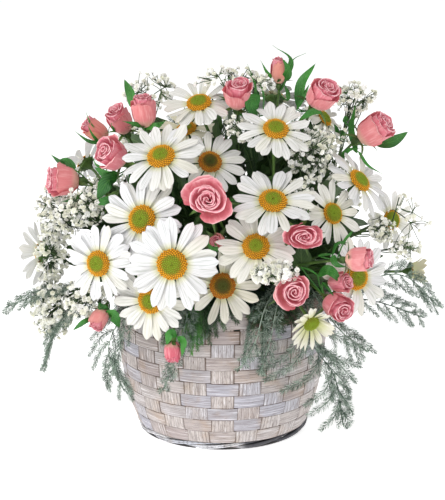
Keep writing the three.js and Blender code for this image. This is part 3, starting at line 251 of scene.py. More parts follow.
def facing_frame(facing: tuple[float, float]) -> np.ndarray:
    """The directions of what looks along a facing.

    Args:
        facing: azimuth and tilt in degrees.

    Returns:
        Rows right, up and face.
    """
    turn, rise = (math.radians(angle) for angle in facing)
    face = outward(turn, rise)
    right = np.array([math.cos(turn), math.sin(turn), 0.0])
    return np.stack([right, np.cross(face, right), face])


def unit(vector: np.ndarray) -> np.ndarray:
    """The vector at length one; several when they lie along the last axis."""
    length = np.linalg.norm(vector, axis=-1, keepdims=True)
    return vector / np.maximum(length, 1e-9)


def smooth(value: np.ndarray, low: float, high: float) -> np.ndarray:
    """0 below low, 1 above high, and an even curve between."""
    share = np.clip((np.asarray(value, float) - low) / (high - low), 0, 1)
    return share * share * (3 - 2 * share)


def around(count: int) -> np.ndarray:
    """Angles evenly spaced round a circle."""
    return 2 * np.pi * np.arange(count) / count


def turned(first: np.ndarray, second: np.ndarray, turn: float) -> tuple[np.ndarray, np.ndarray]:
    """Turns two directions in their plane.

    Args:
        first: one direction, or a coordinate along it.
        second: the other.
        turn: the angle.

    Returns:
        Both, turned.
    """
    return (
        first * math.cos(turn) + second * math.sin(turn),
        -first * math.sin(turn) + second * math.cos(turn),
    )


def round_points(radius: np.ndarray, turn: np.ndarray, height: np.ndarray) -> np.ndarray:
    """Points at angles round the Z axis."""
    parts = np.broadcast_arrays(radius * np.cos(turn), radius * np.sin(turn), height)
    return np.stack(parts, -1)


def way_length(points: np.ndarray) -> float:
    """The length of the way through points."""
    return float(np.linalg.norm(np.diff(points, axis=0), axis=1).sum())


def grid_triangles(rows: int, columns: int, wrap: bool = False) -> np.ndarray:
    """Triangles of a grid of points, row by row.

    Args:
        rows: points along.
        columns: points across.
        wrap: whether the last column joins the first.

    Returns:
        An array with three point numbers a row.
    """
    index = np.arange(rows * columns).reshape(rows, columns)
    left = index if wrap else index[:, :-1]
    right = np.roll(index, -1, axis=1) if wrap else index[:, 1:]
    a, b, c, d = left[:-1], right[:-1], right[1:], left[1:]
    halves = (np.stack(half, -1).reshape(-1, 3) for half in ((a, b, c), (a, c, d)))
    return np.concatenate(list(halves))


def curve_through(knots: np.ndarray, count: int) -> np.ndarray:
    """Evenly spaced points on a smooth curve through the knots.

    Args:
        knots: points in order.
        count: how many points to return.

    Returns:
        An array of count points.
    """
    knots = np.asarray(knots, float)
    if len(knots) == 2:
        return knots[0] + (knots[1] - knots[0]) * np.linspace(0, 1, count)[:, None]
    padded = np.concatenate([[2 * knots[0] - knots[1]], knots, [2 * knots[-1] - knots[-2]]])
    pieces = []
    for i in range(len(knots) - 1):
        p0, p1, p2, p3 = padded[i : i + 4]
        t = np.linspace(0, 1, 12, endpoint=i == len(knots) - 2)[:, None]
        square, cube = 2 * p0 - 5 * p1 + 4 * p2 - p3, 3 * p1 - p0 - 3 * p2 + p3
        pieces.append(0.5 * (2 * p1 + (p2 - p0) * t + square * t**2 + cube * t**3))
    fine = np.concatenate(pieces)
    steps = np.concatenate([[0], np.cumsum(np.linalg.norm(np.diff(fine, axis=0), axis=1))])
    wanted = np.linspace(0, steps[-1], count)
    return np.stack([np.interp(wanted, steps, fine[:, axis]) for axis in range(3)], -1)


def blade_frame(line: np.ndarray, up: np.ndarray) -> tuple[np.ndarray, np.ndarray, np.ndarray]:
    """Directions at each point of a blade.

    Args:
        line: points along it.
        up: the way its upper side looks.

    Returns:
        Directions along, across and over.
    """
    along = unit(np.gradient(line, axis=0))
    side = unit(np.cross(np.broadcast_to(up, along.shape), along))
    return along, side, np.cross(along, side)


class Surface:
    """Points, triangles and marks of one piece, gathered in millimetres.

    A mark is (along, across, seed) at each point: the way along a petal, leaf or strip from 0
    to 1, the way across it from -1 to 1, and a number from 0 to 1 that tells pieces apart.
    """

    def __init__(self) -> None:
        """Starts without points."""
        self.points: list[np.ndarray] = []
        self.triangles: list[np.ndarray] = []
        self.marks: list[np.ndarray] = []
        self.finishes: list[np.ndarray] = []
        self.count = 0

    def add(
        self, points: np.ndarray, triangles: np.ndarray, marks: np.ndarray, finish: int = 0
    ) -> None:
        """Adds points with their own triangles.

        Args:
            points: n rows of X, Y, Z.
            triangles: rows of three point numbers, counted from these points.
            marks: n rows, or one row for all.
            finish: which of the piece's materials the triangles take.
        """
        points = np.asarray(points, float).reshape(-1, 3)
        marks = np.broadcast_to(np.asarray(marks, float).reshape(-1, 3), points.shape)
        self.points.append(points)
        self.marks.append(marks)
        self.triangles.append(np.asarray(triangles, int) + self.count)
        self.finishes.append(np.full(len(triangles), finish))
        self.count += len(points)

    def sheet(
        self,
        points: np.ndarray,
        along: np.ndarray | float,
        across: np.ndarray | float,
        seed: np.ndarray | float,
        wrap: bool = False,
        finish: int = 0,
    ) -> None:
        """Adds a grid of points. Its marks may be one number, a row or a column.

        Args:
            points: rows and columns of X, Y, Z.
            along: the marks along.
            across: the marks across.
            seed: the marks' seed.
            wrap: whether the last column joins the first.
            finish: which material it takes.
        """
        rows, columns = points.shape[:2]
        parts = np.broadcast_arrays(along, across, seed, np.zeros((rows, columns)))[:3]
        self.add(points, grid_triangles(rows, columns, wrap), np.stack(parts, -1), finish)

    def tube(
        self,
        path: np.ndarray,
        radii: np.ndarray | float,
        sides: int,
        seed: float,
        finish: int = 0,
        tip: bool = True,
    ) -> None:
        """Adds a round limb along a path, whose frames turn with it but don't twist.

        Args:
            path: its middle line.
            radii: its radius at each point of the path.
            sides: points round it.
            seed: its mark's seed.
            finish: which material it takes.
            tip: whether its end is closed with a point.
        """
        radii = np.broadcast_to(np.asarray(radii, float), (len(path),))
        along = unit(np.gradient(path, axis=0))
        across = np.zeros_like(path)
        guide = np.array([0.0, 1.0, 0.0] if abs(along[0][0]) > 0.8 else [1.0, 0.0, 0.0])
        for i, way in enumerate(along):
            guide = unit(guide - way * guide.dot(way))
            across[i] = guide
        over = np.cross(along, across)
        turn = around(sides)[None, :, None]
        ring = across[:, None] * np.cos(turn) + over[:, None] * np.sin(turn)
        points = path[:, None] + ring * radii[:, None, None]
        share = np.linspace(0, 1, len(path))[:, None]
        self.sheet(points, share, np.cos(turn[..., 0]), seed, True, finish)
        if tip:
            end = path[-1] + unit(path[-1] - path[-2]) * radii[-1] * 0.6
            fan = [[i - sides, (i + 1) % sides - sides, 0] for i in range(sides)]
            self.add(end, fan, [1, 0, seed], finish)

    def piece(self, name: str, *materials: bpy.types.Material) -> bpy.types.Object:
        """Makes the piece's object and links it to the scene.

        Args:
            name: the object's name.
            materials: the materials that finish numbers count.

        Returns:
            The object.
        """
        points = np.concatenate(self.points) * MM
        triangles = np.concatenate(self.triangles)
        mesh = bpy.data.meshes.new(name)
        mesh.vertices.add(len(points))
        mesh.vertices.foreach_set("co", points.astype(np.float32).ravel())
        mesh.loops.add(triangles.size)
        mesh.loops.foreach_set("vertex_index", triangles.astype(np.int32).ravel())
        mesh.polygons.add(len(triangles))
        mesh.polygons.foreach_set("loop_start", np.arange(0, triangles.size, 3, dtype=np.int32))
        for material in materials:
            mesh.materials.append(material)
        mesh.update(calc_edges=True)
        mesh.polygons.foreach_set("material_index", np.concatenate(self.finishes).astype(np.int32))
        mesh.polygons.foreach_set("use_smooth", np.full(len(triangles), True))
        mark = mesh.attributes.new("mark", "FLOAT_VECTOR", "POINT")
        mark.data.foreach_set("vector", np.concatenate(self.marks).astype(np.float32).ravel())
        mesh.update()
        mesh.validate()
        piece = bpy.data.objects.new(name, mesh)
        bpy.context.scene.collection.objects.link(piece)
        return piece


class CadMesh:
    """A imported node's mesh in millimetres, with points that meet welded into one."""

    WELD = 0.02

    def __init__(self, node: bpy.types.Object) -> None:
        """Reads the node.

        Args:
            node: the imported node.
        """
        mesh = node.data
        spots = np.zeros(len(mesh.vertices) * 3, np.float32)
        mesh.vertices.foreach_get("co", spots)
        spots = spots.reshape(-1, 3).astype(float) / MM
        edges = np.zeros(len(mesh.edges) * 2, np.int32)
        mesh.edges.foreach_get("vertices", edges)
        cells = np.round(spots / self.WELD).astype(int)
        _, first, number = np.unique(cells, axis=0, return_index=True, return_inverse=True)
        self.points = spots[first]
        self.near: list[set[int]] = [set() for _ in self.points]
        for a, b in number.ravel()[edges].reshape(-1, 2):
            if a != b:
                self.near[a].add(int(b))
                self.near[b].add(int(a))
        self.tree = KDTree(len(self.points))
        for i, point in enumerate(self.points):
            self.tree.insert(Vector(point), i)
        self.tree.balance()

    def nearest(self, spot: np.ndarray) -> tuple[int, float]:
        """The number of the nearest point and how far it is."""
        _, index, distance = self.tree.find(Vector(spot))
        return index, distance

    def centre(self, index: int, reach: float) -> np.ndarray:
        """The middle of the points within reach of one."""
        found = self.tree.find_range(Vector(self.points[index]), reach)
        return np.mean([self.points[i] for _, i, _ in found], axis=0)

    def route(self, start: np.ndarray, goal: np.ndarray) -> list[int]:
        """Points on the shortest way along edges.

        Args:
            start: a place near the first point.
            goal: a place near the last point.

        Returns:
            The points' numbers, in order.
        """
        first, last = self.nearest(start)[0], self.nearest(goal)[0]
        best = {first: 0.0}
        came: dict[int, int] = {}
        queue = [(0.0, first)]
        while queue:
            so_far, here = heapq.heappop(queue)
            if here == last:
                break
            if so_far > best[here]:
                continue
            for other in self.near[here]:
                total = so_far + float(np.linalg.norm(self.points[here] - self.points[other]))
                if total < best.get(other, math.inf):
                    best[other] = total
                    came[other] = here
                    heapq.heappush(queue, (total, other))
        way = [last]
        while way[-1] != first and way[-1] in came:
            way.append(came[way[-1]])
        return way[::-1]

    def middle_line(self, start: np.ndarray, goal: np.ndarray, reach: float) -> np.ndarray:
        """The middle of a limb from near start to near goal.

        Args:
            start: where the limb begins.
            goal: where it ends.
            reach: a little over the limb's thickness.

        Returns:
            Points along it, about a thickness or more apart.
        """
        line: list[np.ndarray] = []
        for index in self.route(start, goal):
            spot = self.centre(index, reach)
            if not line or np.linalg.norm(spot - line[-1]) > reach * 0.8:
                line.append(spot)
        return np.array(line)


# Materials


def srgb(code: str) -> tuple[float, float, float, float]:
    """Turns a hex colour into a linear one.

    Args:
        code: the colour in sRGB, such as d8c8c0.

    Returns:
        Linear red, green, blue and alpha.
    """
    parts = [int(code[i : i + 2], 16) / 255 for i in (0, 2, 4)]
    return (*(p / 12.92 if p <= 0.04045 else ((p + 0.055) / 1.055) ** 2.4 for p in parts), 1.0)


class Weave:
    """A material's node tree, with short ways to add the nodes used here.

    Its colour is painted in layers over the first one.
    """

    def __init__(self, name: str, colour: str) -> None:
        """Starts a material.

        Args:
            name: its name.
            colour: the hex code of its first colour.
        """
        self.colour: tuple[float, ...] | Socket = srgb(colour)
        self.material = bpy.data.materials.new(name)
        self.material.use_nodes = True
        self.tree = self.material.node_tree
        self.tree.nodes.clear()
        self.shader = self.tree.nodes.new("ShaderNodeBsdfPrincipled")
        output = self.tree.nodes.new("ShaderNodeOutputMaterial")
        self.tree.links.new(self.shader.outputs[0], output.inputs[0])

    def feed(self, node: bpy.types.Node, sockets: dict) -> None:
        """Fills a node's inputs.

        Args:
            node: the node.
            sockets: its inputs by name or number, as a value or as a socket to link.
        """
        for key, value in sockets.items():
            if isinstance(value, Socket):
                self.tree.links.new(value, node.inputs[key])
            else:
                node.inputs[key].default_value = value

    def node(self, kind: str, sockets: dict | None = None, **settings: str) -> bpy.types.Node:
        """Adds a node.

        Args:
            kind: the node's type.
            sockets: its inputs by name or number, as a value or as a socket to link.
            settings: its properties by name.

        Returns:
            The node.
        """
        node = self.tree.nodes.new(kind)
        for name, value in settings.items():
            setattr(node, name, value)
        self.feed(node, sockets or {})
        return node

    def mark(self) -> tuple[Socket, Socket, Socket]:
        """The along, across and seed marks of the surface."""
        mark = self.node("ShaderNodeAttribute", attribute_name="mark")
        parts = self.node("ShaderNodeSeparateXYZ", {0: mark.outputs["Vector"]})
        return parts.outputs[0], parts.outputs[1], parts.outputs[2]

    def place(self) -> Socket:
        """Where the surface is, in metres."""
        return self.node("ShaderNodeNewGeometry").outputs["Position"]

    def math(self, operation: str, *values: float | Socket) -> Socket:
        """A sum of one, two or three values."""
        return self.node("ShaderNodeMath", dict(enumerate(values)), operation=operation).outputs[0]

    def times(self, value: Socket, factor: float | Socket) -> Socket:
        """The value times a factor."""
        return self.math("MULTIPLY", value, factor)

    def off(self, value: Socket, middle: float = 0) -> Socket:
        """How far the value is off a middle."""
        return self.math("ABSOLUTE", self.math("SUBTRACT", value, middle) if middle else value)

    def noise(self, where: Socket, scale: float, detail: float = 2) -> Socket:
        """Soft noise from 0 to 1."""
        sockets = {"Vector": where, "Scale": scale, "Detail": detail}
        return self.node("ShaderNodeTexNoise", sockets).outputs["Fac"]

    def streaks(self, detail: float, *parts: tuple[Socket, float]) -> Socket:
        """Soft noise stretched by marks times their factors."""
        scaled = dict(enumerate(self.times(*part) for part in parts))
        return self.noise(self.node("ShaderNodeCombineXYZ", scaled).outputs[0], 1.0, detail)

    def range(
        self, value: Socket, low: float, high: float, to_low: float = 0, to_high: float = 1
    ) -> Socket:
        """The value taken smoothly from one range to another."""
        sockets = {0: value, 1: low, 2: high, 3: to_low, 4: to_high}
        node = self.node("ShaderNodeMapRange", sockets, interpolation_type="SMOOTHSTEP")
        return node.outputs[0]

    def tint(self, colour: str, share: float | Socket) -> None:
        """Lays a share of a colour over the colour so far."""
        sockets = {0: share, 6: self.colour, 7: srgb(colour)}
        self.colour = self.node("ShaderNodeMix", sockets, data_type="RGBA").outputs[2]

    def paint(
        self,
        colour: str,
        value: Socket,
        low: float,
        high: float,
        most: float = 1,
        within: Socket | None = None,
    ) -> None:
        """Lays a colour where a value goes from low to high.

        Args:
            colour: the hex code.
            value: what decides where it lies.
            low: where there is none of it.
            high: where there is the most of it.
            most: the greatest share of it.
            within: a share that it is thinned by.
        """
        share = self.range(value, low, high, 0, most)
        self.tint(colour, share if within is None else self.times(share, within))

    def bump(self, height: Socket, depth_mm: float, strength: float) -> None:
        """Gives the surface relief of this depth."""
        sockets = {"Height": height, "Distance": depth_mm * MM, "Strength": strength}
        self.feed(self.shader, {"Normal": self.node("ShaderNodeBump", sockets).outputs[0]})

    def finish(
        self,
        roughness: float | Socket,
        specular: float = 0.5,
        glow: float = 0,
        lit: str = "ffffff",
        sheen: float = 0,
    ) -> bpy.types.Material:
        """Sets the shader's own values.

        Args:
            roughness: the roughness.
            specular: the strength of reflections.
            glow: the strength of the light that stands for what shines through.
            lit: that light's colour.
            sheen: the soft sheen at grazing angles.

        Returns:
            The material.
        """
        self.feed(
            self.shader,
            {
                "Base Color": self.colour,
                "Roughness": roughness,
                "Specular IOR Level": specular,
                "Emission Strength": glow,
                "Emission Color": srgb(lit),
                "Sheen Weight": sheen,
            },
        )
        return self.material


@dataclass(frozen=True)
class WhitewashedSplint:
    """Thin wood strips under a worn wash of white: grain runs along the strip, each tile has
    its own tone, and worn tan wood shows at the edges. The dark colour at the edges and the
    tile ends is partly that worn wood and partly painted shade in the gaps between strips."""

    name: str = "whitewashed_splint"
    wash: str = "bfb7b5"
    cool: str = "acafc0"
    warm: str = "b1957b"
    bare_and_shade: str = "553f2d"
    grain_dark: str = "8b8384"
    grain_light: str = "eceaee"
    along_scale: float = 1.6
    across_scale: float = 5.0
    lines: float = 0.0

    def build(self) -> bpy.types.Material:
        """Makes the material.

        Returns:
            The material.
        """
        w = Weave(self.name, self.wash)
        along, across, seed = w.mark()
        grain = w.streaks(4, (along, self.along_scale), (across, self.across_scale), (seed, 40))
        fine = w.streaks(
            2, (along, self.along_scale * 3), (across, self.across_scale * 5), (seed, 40)
        )
        patch = w.noise(w.place(), 55, 3)
        w.paint(self.cool, w.math("FRACT", w.times(seed, 7.3)), 0.2, 0.9, 0.7)
        w.paint(self.warm, w.math("FRACT", w.times(seed, 3.7)), 0.45, 1.0, 0.45)
        w.paint(self.warm, patch, 0.5, 0.72, 0.5)
        w.paint(self.grain_dark, grain, 0.45, 0.72, 0.7)
        w.paint(self.grain_light, grain, 0.46, 0.32, 0.6)
        w.paint(self.bare_and_shade, fine, 0.57, 0.67, 0.75)
        if self.lines:
            # On the stakes these are grain lines; on the cane they are painted shade lines along
            # each strand.
            stripe = w.off(w.math("SINE", w.times(across, self.lines)))
            w.paint(self.bare_and_shade, stripe, 0.3, 0.0, 0.55)
        # Dark colour at the strip's edges and back: partly worn wood, partly painted shade in the
        # gaps between rows.
        ragged = w.times(w.math("SUBTRACT", grain, 0.5), 0.14)
        edge = w.math("ADD", w.off(across), ragged)
        w.paint(self.bare_and_shade, edge, 0.9, 1.0, 0.95, w.range(patch, 0.35, 0.6, 0.45, 1))
        # Dark lines at the tile ends, where a strip passes behind another: partly worn wood, partly
        # painted shade.
        w.paint(self.bare_and_shade, w.off(along, 0.5), 0.274, 0.298, 0.9)
        w.bump(w.math("ADD", grain, w.times(fine, 0.5)), 0.3, 0.5)
        return w.finish(w.range(grain, 0.3, 0.8, 0.6, 0.85))


@dataclass(frozen=True)
class DaisyPetal:
    """Waxy white petals with a few long folds, painted grey-green shade in streaks, along the
    grooves and at the side edges, and cream where they leave the disc.
    """

    name: str
    cream_share: float
    root_reach: float
    glow: float
    white: str = "e6e6e9"
    fold_shade: str = "a9b0a8"
    root: str = "c3c57a"
    cream: str = "e2d9a6"

    def build(self) -> bpy.types.Material:
        """Makes the material.

        Returns:
            The material.
        """
        w = Weave(self.name, self.white)
        along, across, seed = w.mark()
        vein = w.streaks(3, (along, 1.3), (across, 7), (seed, 31))
        # Streaks of painted shade along the veins.
        w.paint(self.fold_shade, vein, 0.5, 0.66, 0.55)
        # Painted shade along the two grooves, fading towards the tip.
        groove = w.off(w.off(across), 0.36)
        near = w.times(w.range(vein, 0.3, 0.6), w.range(along, 1.0, 0.7))
        w.paint(self.fold_shade, groove, 0.13, 0.0, 0.6, near)
        w.paint(self.cream, w.streaks(0, (seed, 57)), 0.4, 0.8, 0.3)
        w.tint(self.cream, self.cream_share)
        # Painted shade at the petal's side edges.
        w.paint(self.fold_shade, w.off(across), 0.8, 1.05, 0.3)
        w.paint(self.root, along, self.root_reach, 0.0, 0.85)
        w.bump(vein, 0.3, 0.45)
        return w.finish(0.62, specular=0.25, glow=self.glow, lit=self.white, sheen=0.1)


@dataclass(frozen=True)
class DaisyDisc:
    """Packed florets: green and unopened in the middle, golden and dusty in the outer rings, with
    painted shade low down between them.
    A disc past its best has a dark olive core."""

    name: str
    age: float
    bud: str = "8cab1f"
    ripe: str = "f4ae10"
    old: str = "9a5f1c"
    gap_shade: str = "8a5a10"
    past: str = "b0601c"
    core: str = "4a4b16"

    def build(self) -> bpy.types.Material:
        """Makes the material.

        Returns:
            The material.
        """
        w = Weave(self.name, self.bud)
        rho, height, seed = w.mark()
        ripe_from = 0.74 - 0.55 * self.age
        w.paint(self.ripe, rho, ripe_from, ripe_from + 0.2)
        w.paint(self.old, seed, 0.45, 1.0, 0.7 * self.age)
        # Painted shade low on the florets and between them, strongest in the outer rings.
        w.paint(self.gap_shade, height, 0.75, 0.0, 0.75, w.range(rho, 0.2, 0.7, 0.4, 1))
        if self.age > 0.7:
            w.paint(self.past, rho, 0.6, 0.8, 0.6)
            w.paint(self.core, rho, 0.76, 0.5, 0.85)
        w.bump(w.noise(w.place(), 1800, 2), 0.2, 0.5)
        return w.finish(0.7)


@dataclass(frozen=True)
class RosePetal:
    """Velvety pink petals: a pale line at the rim, partly their own paler edge and partly a painted
    highlight; deep pink towards the base, most on the inner petals, partly their own colour and
    partly painted shade in the creases; and salmon or cream where they are older."""

    name: str
    peach_share: float
    light_share: float
    glow: float = 0.09
    pink: str = "cd6e80"
    deep: str = "b8405a"
    pale: str = "eebcc0"
    rim: str = "f6d6d6"
    peach: str = "d98f70"
    cream: str = "e0c6a6"
    lit: str = "d8687c"

    def build(self) -> bpy.types.Material:
        """Makes the material.

        Returns:
            The material.
        """
        w = Weave(self.name, self.pink)
        along, across, seed = w.mark()
        vein = w.streaks(3, (along, 2.2), (across, 9), (seed, 31))
        cloud = w.noise(w.place(), 150, 2)
        outer = w.range(seed, 0.45, 1.0)
        # Deep pink towards the base, most on the inner petals: partly their own colour, partly
        # painted shade in the creases.
        w.paint(self.deep, along, 0.92, 0.5, 1, w.range(seed, 0.55, 0.2, 0.2, 0.9))
        w.paint(self.pale, vein, 0.48, 0.7, 0.5)
        w.paint(self.deep, vein, 0.44, 0.3, 0.4)
        w.paint(self.pale, cloud, 0.45, 0.75, 0.15 + 0.5 * self.light_share)
        # Pale line at the rim: partly the petal's own paler edge, partly a painted highlight.
        edge = w.math("ADD", along, w.times(w.off(across), 0.1))
        w.paint(self.rim, edge, 0.93, 1.02, 0.85)
        w.tint(self.peach, w.times(outer, self.peach_share))
        w.tint(self.pale, 0.25 * self.light_share)
        w.paint(self.cream, along, 0.5, 0.12, 0.65, outer)
        w.bump(vein, 0.25, 0.35)
        return w.finish(0.6, specular=0.25, glow=self.glow, lit=self.lit, sheen=0.2)


@dataclass(frozen=True)
class Greenery:
    """Leaf or stem green, with paler veins and yellow patches."""

    name: str
    dark: str
    light: str
    vein: str
    roughness: float = 0.5

    def build(self) -> bpy.types.Material:
        """Makes the material.

        Returns:
            The material.
        """
        w = Weave(self.name, self.dark)
        along, across, seed = w.mark()
        patch = w.noise(w.place(), 60, 3)
        own = w.streaks(0, (seed, 57))
        tone = w.math("ADD", w.times(patch, 0.6), w.times(own, 0.5))
        w.paint(self.light, tone, 0.35, 0.75)
        wave = w.math("ADD", w.times(along, 44), w.times(w.off(across), -18))
        side_vein = w.range(w.math("SINE", wave), 0.82, 1.0, 0, 0.4)
        mid_vein = w.range(w.off(across), 0.1, 0.0, 0, 0.7)
        w.tint(self.vein, w.math("MAXIMUM", side_vein, mid_vein))
        w.bump(w.math("ADD", patch, side_vein), 0.3, 0.4)
        return w.finish(self.roughness, specular=0.4)


@dataclass(frozen=True)
class Powdery:
    """Small dry surfaces of one hue, such as fern needles, florets or foam cells."""

    name: str
    dark: str
    light: str
    scale: float
    depth_mm: float = 0.2
    roughness: float = 0.9
    glow: float = 0.0

    def build(self) -> bpy.types.Material:
        """Makes the material.

        Returns:
            The material.
        """
        w = Weave(self.name, self.dark)
        seed = w.mark()[2]
        cloud = w.noise(w.place(), self.scale, 3)
        w.paint(self.light, w.math("ADD", w.times(cloud, 0.7), w.times(seed, 0.3)), 0.3, 0.75)
        w.bump(w.noise(w.place(), self.scale * 12, 2), self.depth_mm, 0.4)
        return w.finish(self.roughness, glow=self.glow, lit=self.light)


@dataclass(frozen=True)
class StudioPaper:
    """The white sheet that the basket stands on."""

    name: str = "studio_paper"

    def build(self) -> bpy.types.Material:
        """Makes the material.

        Returns:
            The material.
        """
        w = Weave(self.name, "fbfbfb")
        w.tint("f7f7f7", w.noise(w.place(), 40, 4))
        return w.finish(0.9, specular=0.1, glow=0.66)


# Basket


@dataclass(frozen=True)
class BasketSize:
    """Sizes of the splint basket. Its splints are thinner and closer than in the solids, and
    the twist of its foot is wider."""

    foot_radius: float = 70
    rim_radius: float = 89
    rim_top: float = 124
    stakes: int = 24
    rows: int = 9
    rows_bottom: float = 6.8
    rows_top: float = 108
    wall_top: float = 121
    strip: float = 0.62
    rise: float = 0.36
    stake_half: float = 9.3
    row_gap: float = 0.06
    rim_bottom: float = 109.4
    rim_thickness: float = 2.6
    foot_middle: float = 70.0
    foot_height: float = 3.7
    strand: float = 1.5
    strands: int = 3
    twists: int = 4
    twist_reach: float = 2.5


class Basket:
    """The woven wall, its stakes, the rim band and the twisted foot."""

    BACK = 1.2  # the across mark of a strip's unwashed back, which takes the edge colour

    def __init__(self, size: BasketSize) -> None:
        """Keeps the sizes and works out the height of a row."""
        self.size = size
        self.row_height = (size.rows_top - size.rows_bottom) / size.rows

    def wall_radius(self, height: np.ndarray) -> np.ndarray:
        """The wall's radius at a height."""
        fall = np.maximum(0, 1 - height / self.size.rim_top)
        return self.size.rim_radius - (self.size.rim_radius - self.size.foot_radius) * fall**3

    def weavers(self) -> Surface:
        """Makes the rows of weaving.

        Returns:
            Strips that go over one stake and under the next.
        """
        s = self.size
        rng = np.random.default_rng(7)
        surface = Surface()
        tiles = s.stakes // 2
        count = s.stakes * 12
        angle = around(count)
        across = np.array([-1, -0.9, -0.45, 0, 0.45, 0.9, 1])[:, None]
        bulge = 0.12 + 0.3 * (1 - across**2)
        for row in range(s.rows):
            low = s.rows_bottom + row * self.row_height + s.row_gap
            high = s.rows_bottom + (row + 1) * self.row_height - s.row_gap
            heights = low + (across + 1) / 2 * (high - low)
            wave = np.cos(angle * s.stakes / 2 + row * np.pi)
            wave = np.sign(wave) * np.abs(wave) ** 0.5 * s.rise
            pair = (angle * s.stakes / (4 * np.pi) + 0.5 * (row % 2) + 0.5) % (s.stakes / 2)
            tile = np.floor(pair).astype(int)
            tone = rng.random(tiles + 1)[tile]
            slip = rng.uniform(-0.25, 0.25, tiles + 1)[tile]
            for offset, mark in ((0.5, across), (-0.5, self.BACK)):
                radius = self.wall_radius(heights) + wave + offset * s.strip + bulge
                points = round_points(radius, angle, heights + slip)
                surface.sheet(points, pair - tile, mark, tone, wrap=True)
            self.close_edges(surface, len(heights), count)
        return surface

    def close_edges(self, surface: Surface, rows: int, count: int) -> None:
        """Joins the long edges of the last two sheets of a strip.

        Args:
            surface: what holds the sheets.
            rows: rows of points in a sheet.
            count: points in a row.
        """
        ring = np.arange(count)
        following = (ring + 1) % count
        faces = []
        for row in (0, rows - 1):
            outer = surface.count + (row - 2 * rows) * count
            inner = outer + rows * count
            a, b, c, d = outer + ring, outer + following, inner + following, inner + ring
            faces += [np.stack([a, b, c], -1), np.stack([a, c, d], -1)]
        surface.triangles.append(np.concatenate(faces))
        surface.finishes.append(np.zeros(4 * count, int))

    def stakes(self) -> Surface:
        """Makes the stakes.

        Returns:
            Upright strips that the weavers cross.
        """
        s = self.size
        rng = np.random.default_rng(8)
        surface = Surface()
        heights = np.linspace(s.rows_bottom, s.wall_top, s.rows * 20 + 10)[:, None]
        step = (heights - s.rows_bottom) / self.row_height
        across = np.array([-1, -0.92, -0.4, 0.4, 0.92, 1])
        edge = across * s.stake_half
        for stake, turn in enumerate(around(s.stakes)):
            wave = 0.22 - np.cos(np.pi * (np.clip(step, 0, s.rows) - 0.5 + stake))
            wave = np.sign(wave) * np.minimum(1, np.abs(wave) * 4) * s.rise
            tone = rng.random(s.rows + 3)[np.floor(step).astype(int)]
            for offset, mark in ((0.5, across), (-0.5, self.BACK)):
                radius = self.wall_radius(heights) + wave + offset * s.strip
                out = radius - edge**2 / (2 * s.rim_radius)
                spots = np.broadcast_arrays(*turned(out, edge, -turn), heights)
                surface.sheet(np.stack(spots, -1), 0.5 + 0.61 * (step % 1 - 0.5), mark, tone)
        return surface

    def rim(self) -> Surface:
        """Makes the rim.

        Returns:
            A broad band outside and inside the wall's top, with rounded edges.
        """
        s = self.size
        surface = Surface()
        outer, inner = s.rim_radius + 0.4, s.rim_radius - 3.1
        face = outer + s.rim_thickness
        profile = np.array(
            [
                (outer, s.rim_bottom, -1),
                (outer + 2.0, s.rim_bottom + 0.3, -0.98),
                (face, s.rim_bottom + 1.5, -0.85),
                (face + 0.3, s.rim_bottom + 5, -0.4),
                (face + 0.2, s.rim_top - 3, 0.5),
                (face - 0.4, s.rim_top - 0.8, 0.85),
                (outer + 1.2, s.rim_top, 0.95),
                (inner + 0.8, s.rim_top, 0.6),
                (inner, s.rim_top - 0.8, 0.9),
                (inner, s.wall_top + 0.3, 1),
            ]
        )
        radius, height, across = profile.T[..., None]
        angle = around(144)
        points = round_points(radius, angle, height)
        surface.sheet(points, angle / (2 * np.pi), across, 0.83, wrap=True)
        return surface

    def foot(self) -> Surface:
        """Makes the foot.

        Returns:
            Strands of cane in a long, loose twist, and two dark cords between them that paint the
            shade in the twist's openings and the shadow line under it.
        """
        s = self.size
        surface = Surface()
        turn = np.append(around(300), 2 * np.pi)
        for strand in range(s.strands):
            swing = s.twists * turn + 2 * np.pi * strand / s.strands
            radius = s.foot_middle + s.twist_reach * np.cos(swing)
            height = s.foot_height + s.twist_reach * 0.85 * np.sin(swing)
            path = round_points(radius, turn, height)
            surface.tube(path, s.strand, 7, 0.37 * strand % 1, tip=False)
        # Dark cords of painted shade: one low outside, for the shadow line under the twist, and one
        # inside, for the shade in its openings.
        for radius, height in ((s.foot_middle + 1.2, 1.1), (s.foot_middle - 0.6, 4.6)):
            surface.tube(round_points(radius, turn, height), 0.85, 6, 0.5, finish=1, tip=False)
        return surface


# Daisies


@dataclass(frozen=True)
class DaisyShape:
    """Shares of a spray daisy's span."""

    disc: float = 0.16
    disc_rise: float = 0.42
    dimple: float = 0.1
    ring: float = 2.2
    widest: float = 0.62
    petal_share: float = 0.127
    extra_petals: float = 1.6
    florets: int = 200
    closed_cup: float = 30
    half_open: float = 2.4
    small_span: float = 35


